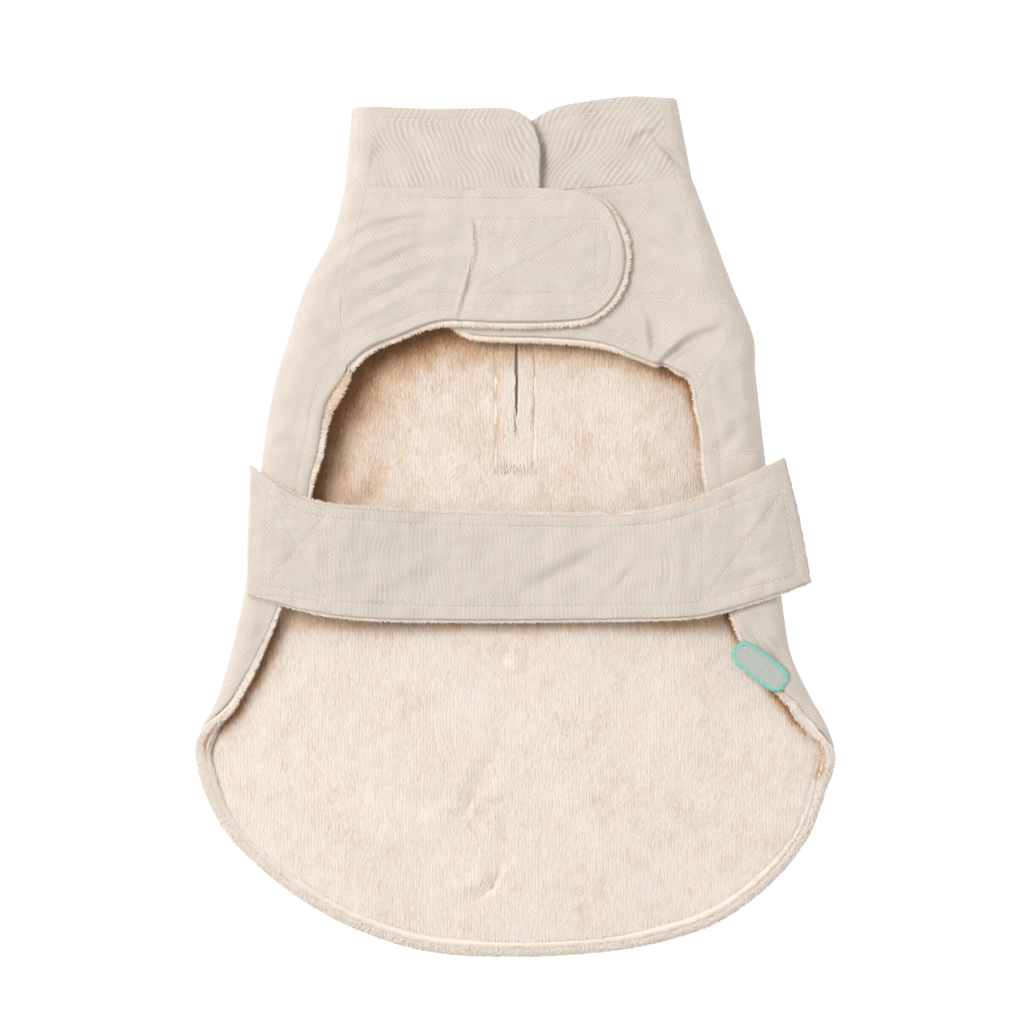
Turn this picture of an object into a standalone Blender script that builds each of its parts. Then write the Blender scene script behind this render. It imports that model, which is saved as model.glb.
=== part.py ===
"""Dog winter coat, laid flat on its back with the belly side up.

The coat lies on z = 0, its collar toward +Y and its middle on the Y axis. It is cut as a back
panel of twill with a fleece lining, whose two sides are folded up and inward, two chest flaps
that cross over, a stand collar, and a belly band that lies across both sides. Every piece is a
wall of cloth between two faces that are worked out from the sizes and tables below.
Lengths in this file are in millimetres and become metres when a mesh is made.
"""

import bisect
import math
from collections import namedtuple

import bmesh
import bpy
from mathutils import Vector

METRES = 0.001

# Thickness of each layer, the space between pieces, and how far the fleece stands out past the
# twill at the flaps' and the band's free edges.
SHELL = 2.2
LINING = 2.5
COLLAR_WALL = 3.0
TAPE = 1.0
TAB = 1.0
GAP = 0.3
FLAP_PROUD = 3.5
BAND_PROUD = 2.5
BODY_WALL = SHELL + GAP + LINING

# Squares of quilting, raised in the twill between their seams.
QUILT_RAISE = 1.1
QUILT_SEAMS_X = (-152.0, -87.0, -22.0, 45.0, 110.0, 175.0)
QUILT_SEAMS_Y = (-40.0, 37.5, 115.0, 192.5)
PRESSED_UP_TO_Y = 38.0

# Where the right chest flap lies under the left one, and how far the flaps take to settle.
RIGHT_FLAP_TOP = 17.5
LEFT_FLAP_TOP = RIGHT_FLAP_TOP + GAP + TAPE + GAP + BODY_WALL
NECK_TOP = 22.8
NECK_Y = 168.2
FLAP_SETTLE = 45.0

# The belly band: the height of its underside at the middle, and where it starts to dip.
BAND_MIDDLE = 14.0
BAND_DIP_FROM = 90.0
BAND_DIP_TO = 30.0
BAND_DROOP_RADIUS = 40.0
BAND_CLEARANCE = 0.7

# Slit for a lead, through the back panel's two layers.
SLIT_WIDTH = 2.2
SLIT_Y = (54.0, 118.0)
SLIT_X = 1.0

# Cells of each mesh. The chest flaps share their rows with the folded sides beside them.
CHEST_ROWS = 9
BODY_ROWS = 20
BACK_ROWS = CHEST_ROWS + BODY_ROWS
BACK_COLUMNS = 18
TURN_CELLS = 8

# The folded outline of the coat, from the neck down the left side, round the hem and up the
# right side. A row is one section across the edge: x and y of its outermost point, the outer
# radius of its fold, the angle it turns through, the flat cloth past the fold, and the
# direction that it faces in plan.
Edge = namedtuple("Edge", "place x y radius turn reach way")
EDGE = (
    Edge("left_neck", -85.0, 168.2, 11.4, 180, 0.0, 180),
    Edge("left_shoulder", -91.5, 144.0, 12.0, 180, 0.0, 180),
    Edge("left_chest", -105.0, 118.0, 12.5, 180, 6.5, 180),
    Edge("left_side", -113.5, 92.0, 13.0, 180, 14.5, 180),
    Edge("left_leg_top", -118.8, 75.0, 13.0, 180, 23.0, 180),
    Edge("left_leg", -123.5, 52.0, 13.0, 180, 18.5, 180),
    Edge("left_band_top", -127.5, 22.0, 12.5, 180, 17.5, 180),
    Edge("left_band", -132.0, -12.0, 11.0, 180, 13.0, 180),
    Edge("left_band_end", -137.5, -45.0, 9.5, 180, 8.0, 178),
    Edge("left_turned", -143.2, -68.0, 7.8, 180, 2.5, 170),
    Edge("left_curl", -149.5, -88.0, 7.2, 165, 0.0, 161),
    Edge("left_flare", -156.8, -102.0, 7.2, 115, 0.0, 166),
    Edge("left_wide", -159.4, -114.0, 7.5, 85, 0.0, 181),
    Edge("left_skirt", -154.8, -134.0, 8.0, 70, 0.0, 199),
    Edge("left_round", -145.0, -153.0, 8.0, 62, 0.0, 213),
    Edge("left_corner", -129.0, -169.8, 8.0, 60, 0.0, 228),
    Edge("hem_left", -108.0, -186.2, 8.0, 60, 0.0, 237),
    Edge("hem_left_mid", -80.0, -201.6, 8.0, 60, 0.0, 248),
    Edge("hem_left_low", -44.0, -212.8, 8.0, 60, 0.0, 260),
    Edge("hem_middle", -2.0, -215.4, 8.0, 60, 0.0, 270),
    Edge("hem_right_low", 39.0, -213.6, 8.0, 60, 0.0, 278),
    Edge("hem_right_mid", 72.0, -208.4, 8.0, 60, 0.0, 286),
    Edge("hem_right", 103.0, -197.6, 8.0, 60, 0.0, 299),
    Edge("right_corner", 129.0, -178.2, 8.0, 60, 0.0, 313),
    Edge("right_round", 146.5, -156.4, 8.0, 62, 0.0, 328),
    Edge("right_skirt", 155.6, -132.5, 7.8, 75, 0.0, 344),
    Edge("right_wide", 160.2, -114.0, 7.2, 125, 0.0, 362),
    Edge("right_flare", 156.6, -101.0, 7.2, 165, 2.0, 382),
    Edge("right_curl", 148.2, -86.0, 7.6, 180, 10.0, 384),
    Edge("right_turned", 138.8, -66.0, 8.4, 180, 14.0, 373),
    Edge("right_band_end", 134.8, -45.0, 9.5, 180, 12.5, 363),
    Edge("right_band", 131.0, -12.0, 11.0, 180, 15.0, 360),
    Edge("right_band_top", 126.6, 22.0, 12.5, 180, 20.0, 360),
    Edge("right_leg", 123.6, 47.0, 13.0, 180, 18.6, 360),
    Edge("right_leg_top", 122.0, 62.0, 13.0, 180, 19.5, 360),
    Edge("right_side", 120.4, 77.0, 12.9, 180, 10.0, 360),
    Edge("right_chest", 119.4, 94.0, 12.6, 180, 1.0, 360),
    Edge("right_upper", 108.8, 120.0, 11.6, 180, 0.0, 360),
    Edge("right_shoulder", 99.6, 145.0, 10.0, 180, 0.0, 360),
    Edge("right_neck", 88.8, 173.7, 8.75, 180, 0.0, 360),
)

# Outline of each chest flap's fleece, from its neck corner at the side seam, round its tip, to
# the leg opening.
Outline = namedtuple("Outline", "place x y")
LEFT_FLAP = (
    Outline("neck_seam", -73.3, 168.2),
    Outline("neck", -47.0, 167.6),
    Outline("neck", -7.0, 167.5),
    Outline("neck", 22.0, 166.8),
    Outline("neck_tip", 38.0, 164.0),
    Outline("tip", 47.5, 158.5),
    Outline("tip", 54.5, 148.0),
    Outline("tip", 57.5, 136.0),
    Outline("tip", 56.0, 122.5),
    Outline("tip", 49.5, 110.0),
    Outline("leg_tip", 38.0, 101.5),
    Outline("leg", 20.0, 98.8),
    Outline("leg", -8.0, 98.4),
    Outline("leg", -37.0, 99.0),
    Outline("leg", -57.0, 92.5),
    Outline("leg", -72.0, 83.0),
    Outline("leg_seam", -82.5, 75.0),
)
RIGHT_FLAP = (
    Outline("neck_seam", 79.7, 173.7),
    Outline("neck", 60.0, 170.6),
    Outline("neck", 30.0, 167.9),
    Outline("neck", 5.0, 166.3),
    Outline("neck_tip", -18.0, 162.5),
    Outline("tip", -31.0, 155.5),
    Outline("tip", -38.5, 145.0),
    Outline("tip", -41.0, 131.0),
    Outline("tip", -39.5, 116.0),
    Outline("tip", -35.5, 103.0),
    Outline("leg_tip", -24.0, 93.6),
    Outline("leg", -5.0, 91.6),
    Outline("leg", 14.0, 91.2),
    Outline("leg", 43.0, 88.4),
    Outline("leg", 63.0, 82.4),
    Outline("leg", 77.0, 74.0),
    Outline("leg_seam", 89.2, 62.0),
)

# Outline of the belly band's fleece, from its upper left corner clockwise.
BAND = (
    Outline("upper_left", -131.2, 29.5),
    Outline("upper", -107.0, 15.0),
    Outline("upper", -82.0, 9.6),
    Outline("upper", -7.0, 6.5),
    Outline("upper", 62.0, 7.0),
    Outline("upper", 93.0, 15.0),
    Outline("upper_right", 134.5, 33.5),
    Outline("end", 142.0, 3.0),
    Outline("lower_right", 148.0, -28.8),
    Outline("lower", 121.0, -38.5),
    Outline("lower", 93.0, -46.0),
    Outline("lower", 62.0, -47.8),
    Outline("lower", -32.0, -48.5),
    Outline("lower", -90.0, -46.0),
    Outline("lower_left", -133.4, -35.0),
    Outline("end", -132.8, -3.0),
)

# The collar's strip, run by run: where it is sewn to the neck and where its free edge lies.
Collar = namedtuple("Collar", "x seam_y top_y")
COLLAR_FRONT_LEFT = (
    Collar(-74.0, 168.6, 208.6),
    Collar(-47.0, 168.2, 207.6),
    Collar(-7.0, 168.0, 207.8),
    Collar(-2.0, 168.0, 207.2),
    Collar(4.5, 168.0, 204.2),
    Collar(9.5, 167.9, 198.8),
    Collar(12.8, 167.9, 188.0),
)
COLLAR_FRONT_RIGHT = (
    Collar(-7.0, 166.2, 186.0),
    Collar(-3.0, 166.4, 193.0),
    Collar(9.0, 167.2, 201.4),
    Collar(23.0, 168.1, 208.4),
    Collar(43.0, 169.7, 212.0),
    Collar(63.0, 171.7, 214.1),
    Collar(80.0, 174.1, 213.6),
)
COLLAR_BACK = (
    Collar(-74.0, 168.6, 208.6),
    Collar(-40.0, 163.0, 202.4),
    Collar(0.0, 160.8, 199.8),
    Collar(40.0, 164.0, 203.2),
    Collar(80.0, 174.1, 213.6),
)
COLLAR_LEFT = -85.0
COLLAR_RIGHT = 88.8
COLLAR_LEAN_LEFT = 3.6
COLLAR_LEAN_RIGHT = -7.6
COLLAR_RIGHT_TOP = 17.5

# The largest folds, as troughs between two places: their depth and their half width.
Fold = namedtuple("Fold", "x0 y0 x1 y1 depth width")
LEFT_FLAP_FOLDS = (
    Fold(-22.0, 156.0, -26.0, 102.0, 1.0, 5.0),
    Fold(-84.0, 134.0, -42.0, 146.0, 1.0, 5.0),
)
RIGHT_FLAP_FOLDS = (
    Fold(73.0, 84.0, 92.0, 91.0, 1.8, 7.0),
    Fold(92.0, 91.0, 108.0, 97.0, 1.6, 7.0),
)
BAND_FOLDS = (
    Fold(67.0, 1.0, -6.0, -38.0, 1.4, 6.0),
)
COLLAR_FOLDS = (
    Fold(63.0, 197.0, 88.0, 173.0, 1.4, 5.0),
)

# Hook tape: the chest piece's corners, and the cells of the band that the belly piece covers.
CHEST_TAPE = ((-17.0, 111.0), (41.0, 148.0))
BELLY_TAPE_ROWS = (1, 5)
BELLY_TAPE_COLUMNS = (18, 21)

# The tab that is sewn on the right turned edge.
TAB_CENTRE = (122.5, -70.5)
TAB_TURN = -38.0
TAB_LENGTH = 30.0
TAB_WIDTH = 12.5
TAB_ROUNDING = 0.85
TAB_CLEARANCE = 0.5

# Each material: base colour, roughness and metallic value.
LOOKS = {
    "twill": ((0.66, 0.58, 0.50), 0.85, 0.0),
    "fleece": ((0.80, 0.68, 0.57), 0.95, 0.0),
    "hook_tape": ((0.60, 0.53, 0.46), 0.70, 0.0),
    "tab_felt": ((0.36, 0.48, 0.44), 0.80, 0.0),
}


def mix(start, end, share):
    """Value part of the way from start to end."""
    return start + (end - start) * share


def smoothstep(share):
    """Ease from 0 to 1 as share goes from 0 to 1."""
    share = min(max(share, 0.0), 1.0)
    return share * share * (3.0 - 2.0 * share)


def spline(keys, values, at):
    """Smooth value at one key, through values placed at rising keys."""
    at = min(max(at, keys[0]), keys[-1])
    last = len(keys) - 1
    left = min(max(bisect.bisect_right(keys, at) - 1, 0), last - 1)
    span = keys[left + 1] - keys[left]
    share = (at - keys[left]) / span

    def slope(i):
        before = max(i - 1, 0)
        after = min(i + 1, last)
        return (values[after] - values[before]) / (keys[after] - keys[before])

    square = share * share
    cube = square * share
    return (values[left] * (2.0 * cube - 3.0 * square + 1.0)
            + values[left + 1] * (3.0 * square - 2.0 * cube)
            + slope(left) * span * (cube - 2.0 * square + share)
            + slope(left + 1) * span * (cube - square))


def running_lengths(points):
    """Length along a row of plan points, at each of them."""
    lengths = [0.0]
    for a, b in zip(points, points[1:]):
        lengths.append(lengths[-1] + math.hypot(b[0] - a[0], b[1] - a[1]))
    return lengths


def along(rows, lengths, at):
    """A row of the same kind, read from the rows' smooth course at one length."""
    values = [spline(lengths, [row[column] for row in rows], at) for column in range(1, len(rows[0]))]
    return type(rows[0])("", *values)


def section_rows(rows, start, end, cells):
    """Evenly spaced rows on the course between two named places."""
    lengths = running_lengths([(row.x, row.y) for row in rows])
    places = [row.place for row in rows]
    begin = lengths[places.index(start)]
    finish = lengths[places.index(end)]
    return [along(rows, lengths, mix(begin, finish, i / cells)) for i in range(cells + 1)]


# The folded edge of the back panel.

def fold_line(edge):
    """Plan point where the cloth leaves the flat back and starts to turn up."""
    turn = math.radians(edge.turn)
    stands_out = edge.radius
    if edge.turn < 90.0:
        stands_out = edge.radius * math.sin(turn) + edge.reach * math.cos(turn)
    way = math.radians(edge.way)
    return Vector((edge.x - stands_out * math.cos(way), edge.y - stands_out * math.sin(way)))


def edge_point(edge, share, depth):
    """Point of the turned edge: share runs from the flat back to the edge's end."""
    turn = math.radians(edge.turn)
    course = share * (edge.radius * turn + edge.reach)
    angle = min(course / edge.radius, turn)
    flat = course - angle * edge.radius
    out = (edge.radius - depth) * math.sin(angle) + flat * math.cos(turn)
    up = edge.radius - (edge.radius - depth) * math.cos(angle) + flat * math.sin(turn)
    way = math.radians(edge.way)
    base = fold_line(edge)
    return Vector((base.x + out * math.cos(way), base.y + out * math.sin(way), up))


def side_rows(side):
    """Rows of one side above its widest place, from the lowest up."""
    places = [row.place for row in EDGE]
    if side == "left":
        return list(reversed(EDGE[:places.index("left_band_end") + 1]))
    return list(EDGE[places.index("right_band_end"):])


def side_at(side, y):
    """Row of one side's edge at a given y."""
    rows = side_rows(side)
    return along(rows, [row.y for row in rows], y)


def side_top(side, y):
    """Height of the folded side's upper face."""
    return 2.0 * side_at(side, y).radius


def seam_x(side, y):
    """Where the folded side ends at a given y."""
    return edge_point(side_at(side, y), 1.0, 0.0).x


# Relief of the twill.

def quilt_share(seams, at):
    """How far a place is from the seams beside it, from 0 on a seam to 1 midway."""
    cell = min(max(bisect.bisect_right(seams, at) - 1, 0), len(seams) - 2)
    share = (at - seams[cell]) / (seams[cell + 1] - seams[cell])
    return math.sin(math.pi * min(max(share, 0.0), 1.0))


def quilting(x, y):
    """Height by which the quilted twill is raised."""
    pressed = smoothstep((y - PRESSED_UP_TO_Y) / 12.0)
    raised = math.sqrt(quilt_share(QUILT_SEAMS_X, x) * quilt_share(QUILT_SEAMS_Y, y))
    return QUILT_RAISE * raised * pressed


def fold_depth(folds, x, y):
    """Depth of the troughs at one place."""
    depth = 0.0
    for fold in folds:
        run = Vector((fold.x1 - fold.x0, fold.y1 - fold.y0))
        place = Vector((x - fold.x0, y - fold.y0))
        share = min(max(place.dot(run) / run.length_squared, 0.0), 1.0)
        away = (place - run * share).length
        ends = math.sin(math.pi * min(max(0.12 + 0.76 * share, 0.0), 1.0))
        depth += fold.depth * ends * math.exp(-(away / fold.width) ** 2)
    return depth


# Meshes.

def grid_cells(rows, columns):
    """Cells of a grid whose points are listed row by row."""
    width = columns + 1
    return [(r * width + c, r * width + c + 1, (r + 1) * width + c + 1, (r + 1) * width + c)
            for r in range(rows) for c in range(columns)]


def open_edges(cells):
    """Edges that belong to one cell only, in that cell's order."""
    sides = [(cell[i], cell[(i + 1) % 4]) for cell in cells for i in range(4)]
    known = set(sides)
    return [(a, b) for a, b in sides if (b, a) not in known]


def make_look(name):
    """Principled material of one kind of cloth."""
    if name in bpy.data.materials:
        return bpy.data.materials[name]
    colour, roughness, metallic = LOOKS[name]
    material = bpy.data.materials.new(name)
    material.use_nodes = True
    shader = material.node_tree.nodes["Principled BSDF"]
    shader.inputs["Base Color"].default_value = (*colour, 1.0)
    shader.inputs["Roughness"].default_value = roughness
    shader.inputs["Metallic"].default_value = metallic
    material.diffuse_color = (*colour, 1.0)
    return material


def make_wall(name, look, outer, inner, cells):
    """Closed wall of cloth between two lists of points with the same cells."""
    shape = bmesh.new()
    faces = [shape.verts.new(point * METRES) for point in outer]
    backs = [shape.verts.new(point * METRES) for point in inner]
    for a, b, c, d in cells:
        for p, q, r in ((a, b, c), (a, c, d)):
            shape.faces.new((faces[p], faces[q], faces[r]))
            shape.faces.new((backs[r], backs[q], backs[p]))
    for a, b in open_edges(cells):
        shape.faces.new((faces[b], faces[a], backs[a]))
        shape.faces.new((faces[b], backs[a], backs[b]))
    bmesh.ops.recalc_face_normals(shape, faces=shape.faces)
    mesh = bpy.data.meshes.new(name)
    shape.to_mesh(mesh)
    shape.free()
    mesh.shade_smooth()
    mesh.set_sharp_from_angle(angle=math.radians(50.0))
    mesh.materials.append(make_look(look))
    piece = bpy.data.objects.new(name, mesh)
    bpy.data.collections["dog_winter_coat"].objects.link(piece)
    return piece


# Back panel.

def neck_line(share):
    """Plan point of the back panel's neck edge, from the left fold to the right one."""
    left = fold_line(EDGE[0])
    right = fold_line(EDGE[-1])
    x = mix(left.x, right.x, share)
    return Vector((x, collar_row(COLLAR_BACK, x).seam_y - GAP))


def back_edges():
    """Sections of the turned edge, from the left neck round the hem to the right neck."""
    left_chest = section_rows(EDGE, "left_neck", "left_leg_top", CHEST_ROWS)
    left_body = section_rows(EDGE, "left_leg_top", "left_corner", BODY_ROWS)
    hem = section_rows(EDGE, "left_corner", "right_corner", BACK_COLUMNS)
    right_body = section_rows(EDGE, "right_corner", "right_leg_top", BODY_ROWS)
    right_chest = section_rows(EDGE, "right_leg_top", "right_neck", CHEST_ROWS)
    return left_chest + left_body[1:] + hem[1:] + right_body[1:] + right_chest[1:]


def side_seam(side):
    """Plan points of a chest flap's side seam, from the neck to the leg opening."""
    if side == "left":
        rows = section_rows(EDGE, "left_neck", "left_leg_top", CHEST_ROWS)
        return [edge_point(row, 1.0, 0.0).xy + Vector((GAP, 0.0)) for row in rows]
    rows = section_rows(EDGE, "right_leg_top", "right_neck", CHEST_ROWS)
    return [edge_point(row, 1.0, 0.0).xy - Vector((GAP, 0.0)) for row in reversed(rows)]


def between_four(top, bottom, left, right, across, down):
    """Plan point inside four smooth sides, across from the left and down from the top."""
    sides = mix(left(down), right(down), across) + mix(top(across), bottom(across), down)
    corners = mix(mix(top(0.0), top(1.0), across), mix(bottom(0.0), bottom(1.0), across), down)
    return sides - corners


def through(points):
    """Function of a share from 0 to 1 along evenly spaced points."""
    last = len(points) - 1
    return lambda share: points[round(share * last)]


def back_points(edges, depth, raised):
    """Points of the back panel at one depth in its wall: the flat back, then the turned edge."""
    lines = [fold_line(edge) for edge in edges]
    corner = BACK_ROWS + BACK_COLUMNS
    left = through(lines[:BACK_ROWS + 1])
    bottom = through(lines[BACK_ROWS:corner + 1])
    right = through(list(reversed(lines[corner:])))
    points = []
    for row in range(BACK_ROWS + 1):
        for column in range(BACK_COLUMNS + 1):
            flat = between_four(neck_line, bottom, left, right, column / BACK_COLUMNS, row / BACK_ROWS)
            points.append(Vector((flat.x, flat.y, depth)))
    for edge in edges:
        for cell in range(1, TURN_CELLS + 1):
            share = cell / TURN_CELLS
            plain = edge_point(edge, share, depth)
            over = smoothstep((plain.z / edge.radius - 1.0) * 1.4)
            lift = raised * over * quilting(plain.x, plain.y)
            points.append(edge_point(edge, share, depth - lift))
    return points


def back_cells():
    """Cells of the back panel, in the order of its points."""
    cells = grid_cells(BACK_ROWS, BACK_COLUMNS)
    width = BACK_COLUMNS + 1
    left = [row * width for row in range(BACK_ROWS + 1)]
    bottom = [BACK_ROWS * width + column for column in range(1, BACK_COLUMNS + 1)]
    right = [row * width + BACK_COLUMNS for row in range(BACK_ROWS - 1, -1, -1)]
    rim = left + bottom + right
    first = width * (BACK_ROWS + 1)
    ladders = [[start] + [first + i * TURN_CELLS + cell for cell in range(TURN_CELLS)]
               for i, start in enumerate(rim)]
    for here, there in zip(ladders, ladders[1:]):
        for cell in range(TURN_CELLS):
            cells.append((here[cell], there[cell], there[cell + 1], here[cell + 1]))
    return cells


def make_slit_cutter():
    """Box that cuts the lead slit, kept out of the model."""
    bpy.ops.mesh.primitive_cube_add(size=1.0)
    cutter = bpy.context.object
    cutter.name = "slit_cutter"
    length = SLIT_Y[1] - SLIT_Y[0]
    middle = sum(SLIT_Y) / 2.0
    cutter.data.transform(cutter.matrix_world)
    for vertex in cutter.data.vertices:
        vertex.co.x = (SLIT_X + vertex.co.x * SLIT_WIDTH) * METRES
        vertex.co.y = (middle + vertex.co.y * length) * METRES
        vertex.co.z = vertex.co.z * 4.0 * BODY_WALL * METRES
    cutter.hide_render = True
    cutter.display_type = "WIRE"
    for collection in list(cutter.users_collection):
        collection.objects.unlink(cutter)
    bpy.data.collections["cutters"].objects.link(cutter)
    return cutter


def cut_slit(piece, cutter):
    """Take the lead slit out of one layer."""
    cut = piece.modifiers.new("lead_slit", "BOOLEAN")
    cut.operation = "DIFFERENCE"
    cut.solver = "EXACT"
    cut.object = cutter


def make_back():
    """Twill and fleece of the back panel, with its sides folded inward."""
    edges = back_edges()
    cells = back_cells()
    cutter = make_slit_cutter()
    shell = make_wall("back_shell", "twill",
                      back_points(edges, 0.0, 1.0), back_points(edges, SHELL, 0.0), cells)
    lining = make_wall("back_lining", "fleece",
                       back_points(edges, SHELL + GAP, 0.0), back_points(edges, BODY_WALL, 0.0), cells)
    cut_slit(shell, cutter)
    cut_slit(lining, cutter)


# Chest flaps.

def left_flap_top(x, y):
    """Upper face of the left chest flap, before quilting."""
    near_neck = smoothstep((y - NECK_Y + 20.0) / 20.0)
    rest = mix(LEFT_FLAP_TOP, NECK_TOP, near_neck)
    settled = smoothstep((x - seam_x("left", y)) / FLAP_SETTLE)
    return mix(side_top("left", y), rest, settled)


def right_flap_top(x, y):
    """Upper face of the right chest flap, before quilting."""
    settled = smoothstep((seam_x("right", y) - x) / FLAP_SETTLE)
    return mix(side_top("right", y), RIGHT_FLAP_TOP, settled)


def plan(rows):
    """Plan points of an outline's rows."""
    return [Vector((row.x, row.y)) for row in rows]


def flap_places(side, outline, columns):
    """Plan points of a chest flap, from its side seam to its tip, down from the neck."""
    neck = plan(section_rows(outline, "neck_seam", "neck_tip", columns))
    tip = plan(section_rows(outline, "neck_tip", "leg_tip", CHEST_ROWS))
    leg = plan(reversed(section_rows(outline, "leg_tip", "leg_seam", columns)))
    return [between_four(through(neck), through(leg), through(side_seam(side)), through(tip),
                         column / columns, row / CHEST_ROWS)
            for row in range(CHEST_ROWS + 1) for column in range(columns + 1)]


def pulled_in(points, rows, columns, free_sides, amount):
    """The same grid with the points of its free sides moved toward its inside."""
    moved = list(points)
    width = columns + 1
    for row in range(rows + 1):
        for column in range(width):
            to_row = row
            to_column = column
            if row == rows and "lower" in free_sides:
                to_row = rows - 1
            if row == 0 and "upper" in free_sides:
                to_row = 1
            if column == columns and "end" in free_sides:
                to_column = columns - 1
            if column == 0 and "start" in free_sides:
                to_column = 1
            here = points[row * width + column]
            there = points[to_row * width + to_column]
            if here != there:
                moved[row * width + column] = here + (there - here).normalized() * amount
    return moved


def make_flap(side, outline, top, folds, shown):
    """Twill and fleece of one chest flap."""
    columns = 18
    cells = grid_cells(CHEST_ROWS, columns)
    layers = (("shell", "twill", FLAP_PROUD, 0.0, SHELL, 1.0),
              ("lining", "fleece", 0.0, SHELL + GAP, BODY_WALL, 0.0))
    for layer, look, proud, face, back, raised in layers:
        outer = []
        inner = []
        for place in flap_places(side, outline, columns):
            height = top(place.x, place.y) - fold_depth(folds, place.x, place.y)
            relief = raised * quilting(place.x, place.y) * shown(place.x)
            outer.append(Vector((place.x, place.y, height - face + relief)))
            inner.append(Vector((place.x, place.y, height - back)))
        outer = pulled_in(outer, CHEST_ROWS, columns, ("lower", "end"), proud)
        inner = pulled_in(inner, CHEST_ROWS, columns, ("lower", "end"), proud)
        make_wall(side + "_chest_" + layer, look, outer, inner, cells)


def make_chest():
    """Both chest flaps and the hook tape between them."""
    make_flap("left", LEFT_FLAP, left_flap_top, LEFT_FLAP_FOLDS, lambda x: 1.0)
    make_flap("right", RIGHT_FLAP, right_flap_top, RIGHT_FLAP_FOLDS,
              lambda x: smoothstep((x - 62.0) / 12.0))
    rows = 5
    columns = 8
    (x0, y0), (x1, y1) = CHEST_TAPE
    carrier = []
    for row in range(rows + 1):
        for column in range(columns + 1):
            x = mix(x0, x1, column / columns)
            y = mix(y0, y1, row / rows)
            carrier.append(Vector((x, y, left_flap_top(x, y) - BODY_WALL)))
    make_tape("chest_hook_tape", carrier, rows, columns)


def make_tape(name, carrier, rows, columns):
    """Hook tape sewn under a piece, made from that piece's own points."""
    upper = [point - Vector((0.0, 0.0, GAP)) for point in carrier]
    lower = [point - Vector((0.0, 0.0, TAPE)) for point in upper]
    make_wall(name, "hook_tape", upper, lower, grid_cells(rows, columns))


# Collar.

def collar_row(rows, x):
    """Row of one run of the collar at a given x."""
    keys = [row.x for row in rows]
    values = [spline(keys, [row[column] for row in rows], x) for column in (1, 2)]
    return Collar(x, *values)


def collar_section(height):
    """Folds of the collar at one share of its height: left and right fold lines in plan."""
    left = COLLAR_LEFT + COLLAR_LEAN_LEFT * height + NECK_TOP / 2.0
    right = COLLAR_RIGHT + COLLAR_LEAN_RIGHT * height - COLLAR_RIGHT_TOP / 2.0
    return left, right


def collar_point(run, share, height, depth):
    """Point of the collar: share along one run, height from the neck seam to the free edge."""
    left, right = collar_section(height)
    if run == "front_right":
        x = mix(COLLAR_FRONT_RIGHT[0].x, right, share)
        row = collar_row(COLLAR_FRONT_RIGHT, mix(COLLAR_FRONT_RIGHT[0].x, 80.0, share))
        z = COLLAR_RIGHT_TOP - depth
    elif run == "right_fold":
        angle = math.pi * share
        radius = COLLAR_RIGHT_TOP / 2.0
        x = right + (radius - depth) * math.sin(angle)
        z = radius + (radius - depth) * math.cos(angle)
        row = COLLAR_FRONT_RIGHT[-1]
    elif run == "back":
        x = mix(right, left, share)
        row = collar_row(COLLAR_BACK, mix(80.0, -74.0, share))
        z = depth
    elif run == "left_fold":
        angle = math.pi * share
        radius = NECK_TOP / 2.0
        x = left - (radius - depth) * math.sin(angle)
        z = radius - (radius - depth) * math.cos(angle)
        row = COLLAR_FRONT_LEFT[0]
    else:
        x = mix(left, COLLAR_FRONT_LEFT[-1].x, share)
        row = collar_row(COLLAR_FRONT_LEFT, mix(-74.0, COLLAR_FRONT_LEFT[-1].x, share))
        z = NECK_TOP - depth
    return Vector((x, mix(row.seam_y, row.top_y, height), z))


def make_collar():
    """Stand collar: one strip round the neck, its left end over its right end."""
    runs = (("front_right", 11), ("right_fold", 6), ("back", 12), ("left_fold", 6), ("front_left", 12))
    levels = 5
    outer = []
    inner = []
    for level in range(levels + 1):
        height = level / levels
        for run, cells in runs:
            first = 0 if run == "front_right" else 1
            for cell in range(first, cells + 1):
                face = collar_point(run, cell / cells, height, 0.0)
                trough = 0.0
                if run == "front_right":
                    trough = fold_depth(COLLAR_FOLDS, face.x, face.y)
                outer.append(collar_point(run, cell / cells, height, trough))
                inner.append(collar_point(run, cell / cells, height, COLLAR_WALL + trough))
    columns = sum(cells for run, cells in runs)
    make_wall("collar", "twill", outer, inner, grid_cells(levels, columns))


# Belly band.

def band_underside(x, y):
    """Lower face of the belly band's lining."""
    side = "left" if x < 0.0 else "right"
    edge = side_at(side, y)
    base = fold_line(edge).x
    rest = 2.0 * edge.radius + BAND_CLEARANCE
    if side == "right":
        rest += TAPE
    dip = smoothstep((BAND_DIP_FROM - abs(x)) / (BAND_DIP_FROM - BAND_DIP_TO))
    past_fold = max(abs(x) - abs(base), 0.0)
    droop = past_fold * past_fold / (2.0 * BAND_DROOP_RADIUS)
    return mix(rest, BAND_MIDDLE, dip) - droop


def band_places(rows, columns):
    """Plan points of the belly band, from its left end, down from its upper edge."""
    closed = BAND + (BAND[0]._replace(place="close"),)
    upper = plan(section_rows(closed, "upper_left", "upper_right", columns))
    right = plan(section_rows(closed, "upper_right", "lower_right", rows))
    lower = plan(reversed(section_rows(closed, "lower_right", "lower_left", columns)))
    left = plan(reversed(section_rows(closed, "lower_left", "close", rows)))
    return [between_four(through(upper), through(lower), through(left), through(right),
                         column / columns, row / rows)
            for row in range(rows + 1) for column in range(columns + 1)]


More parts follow.
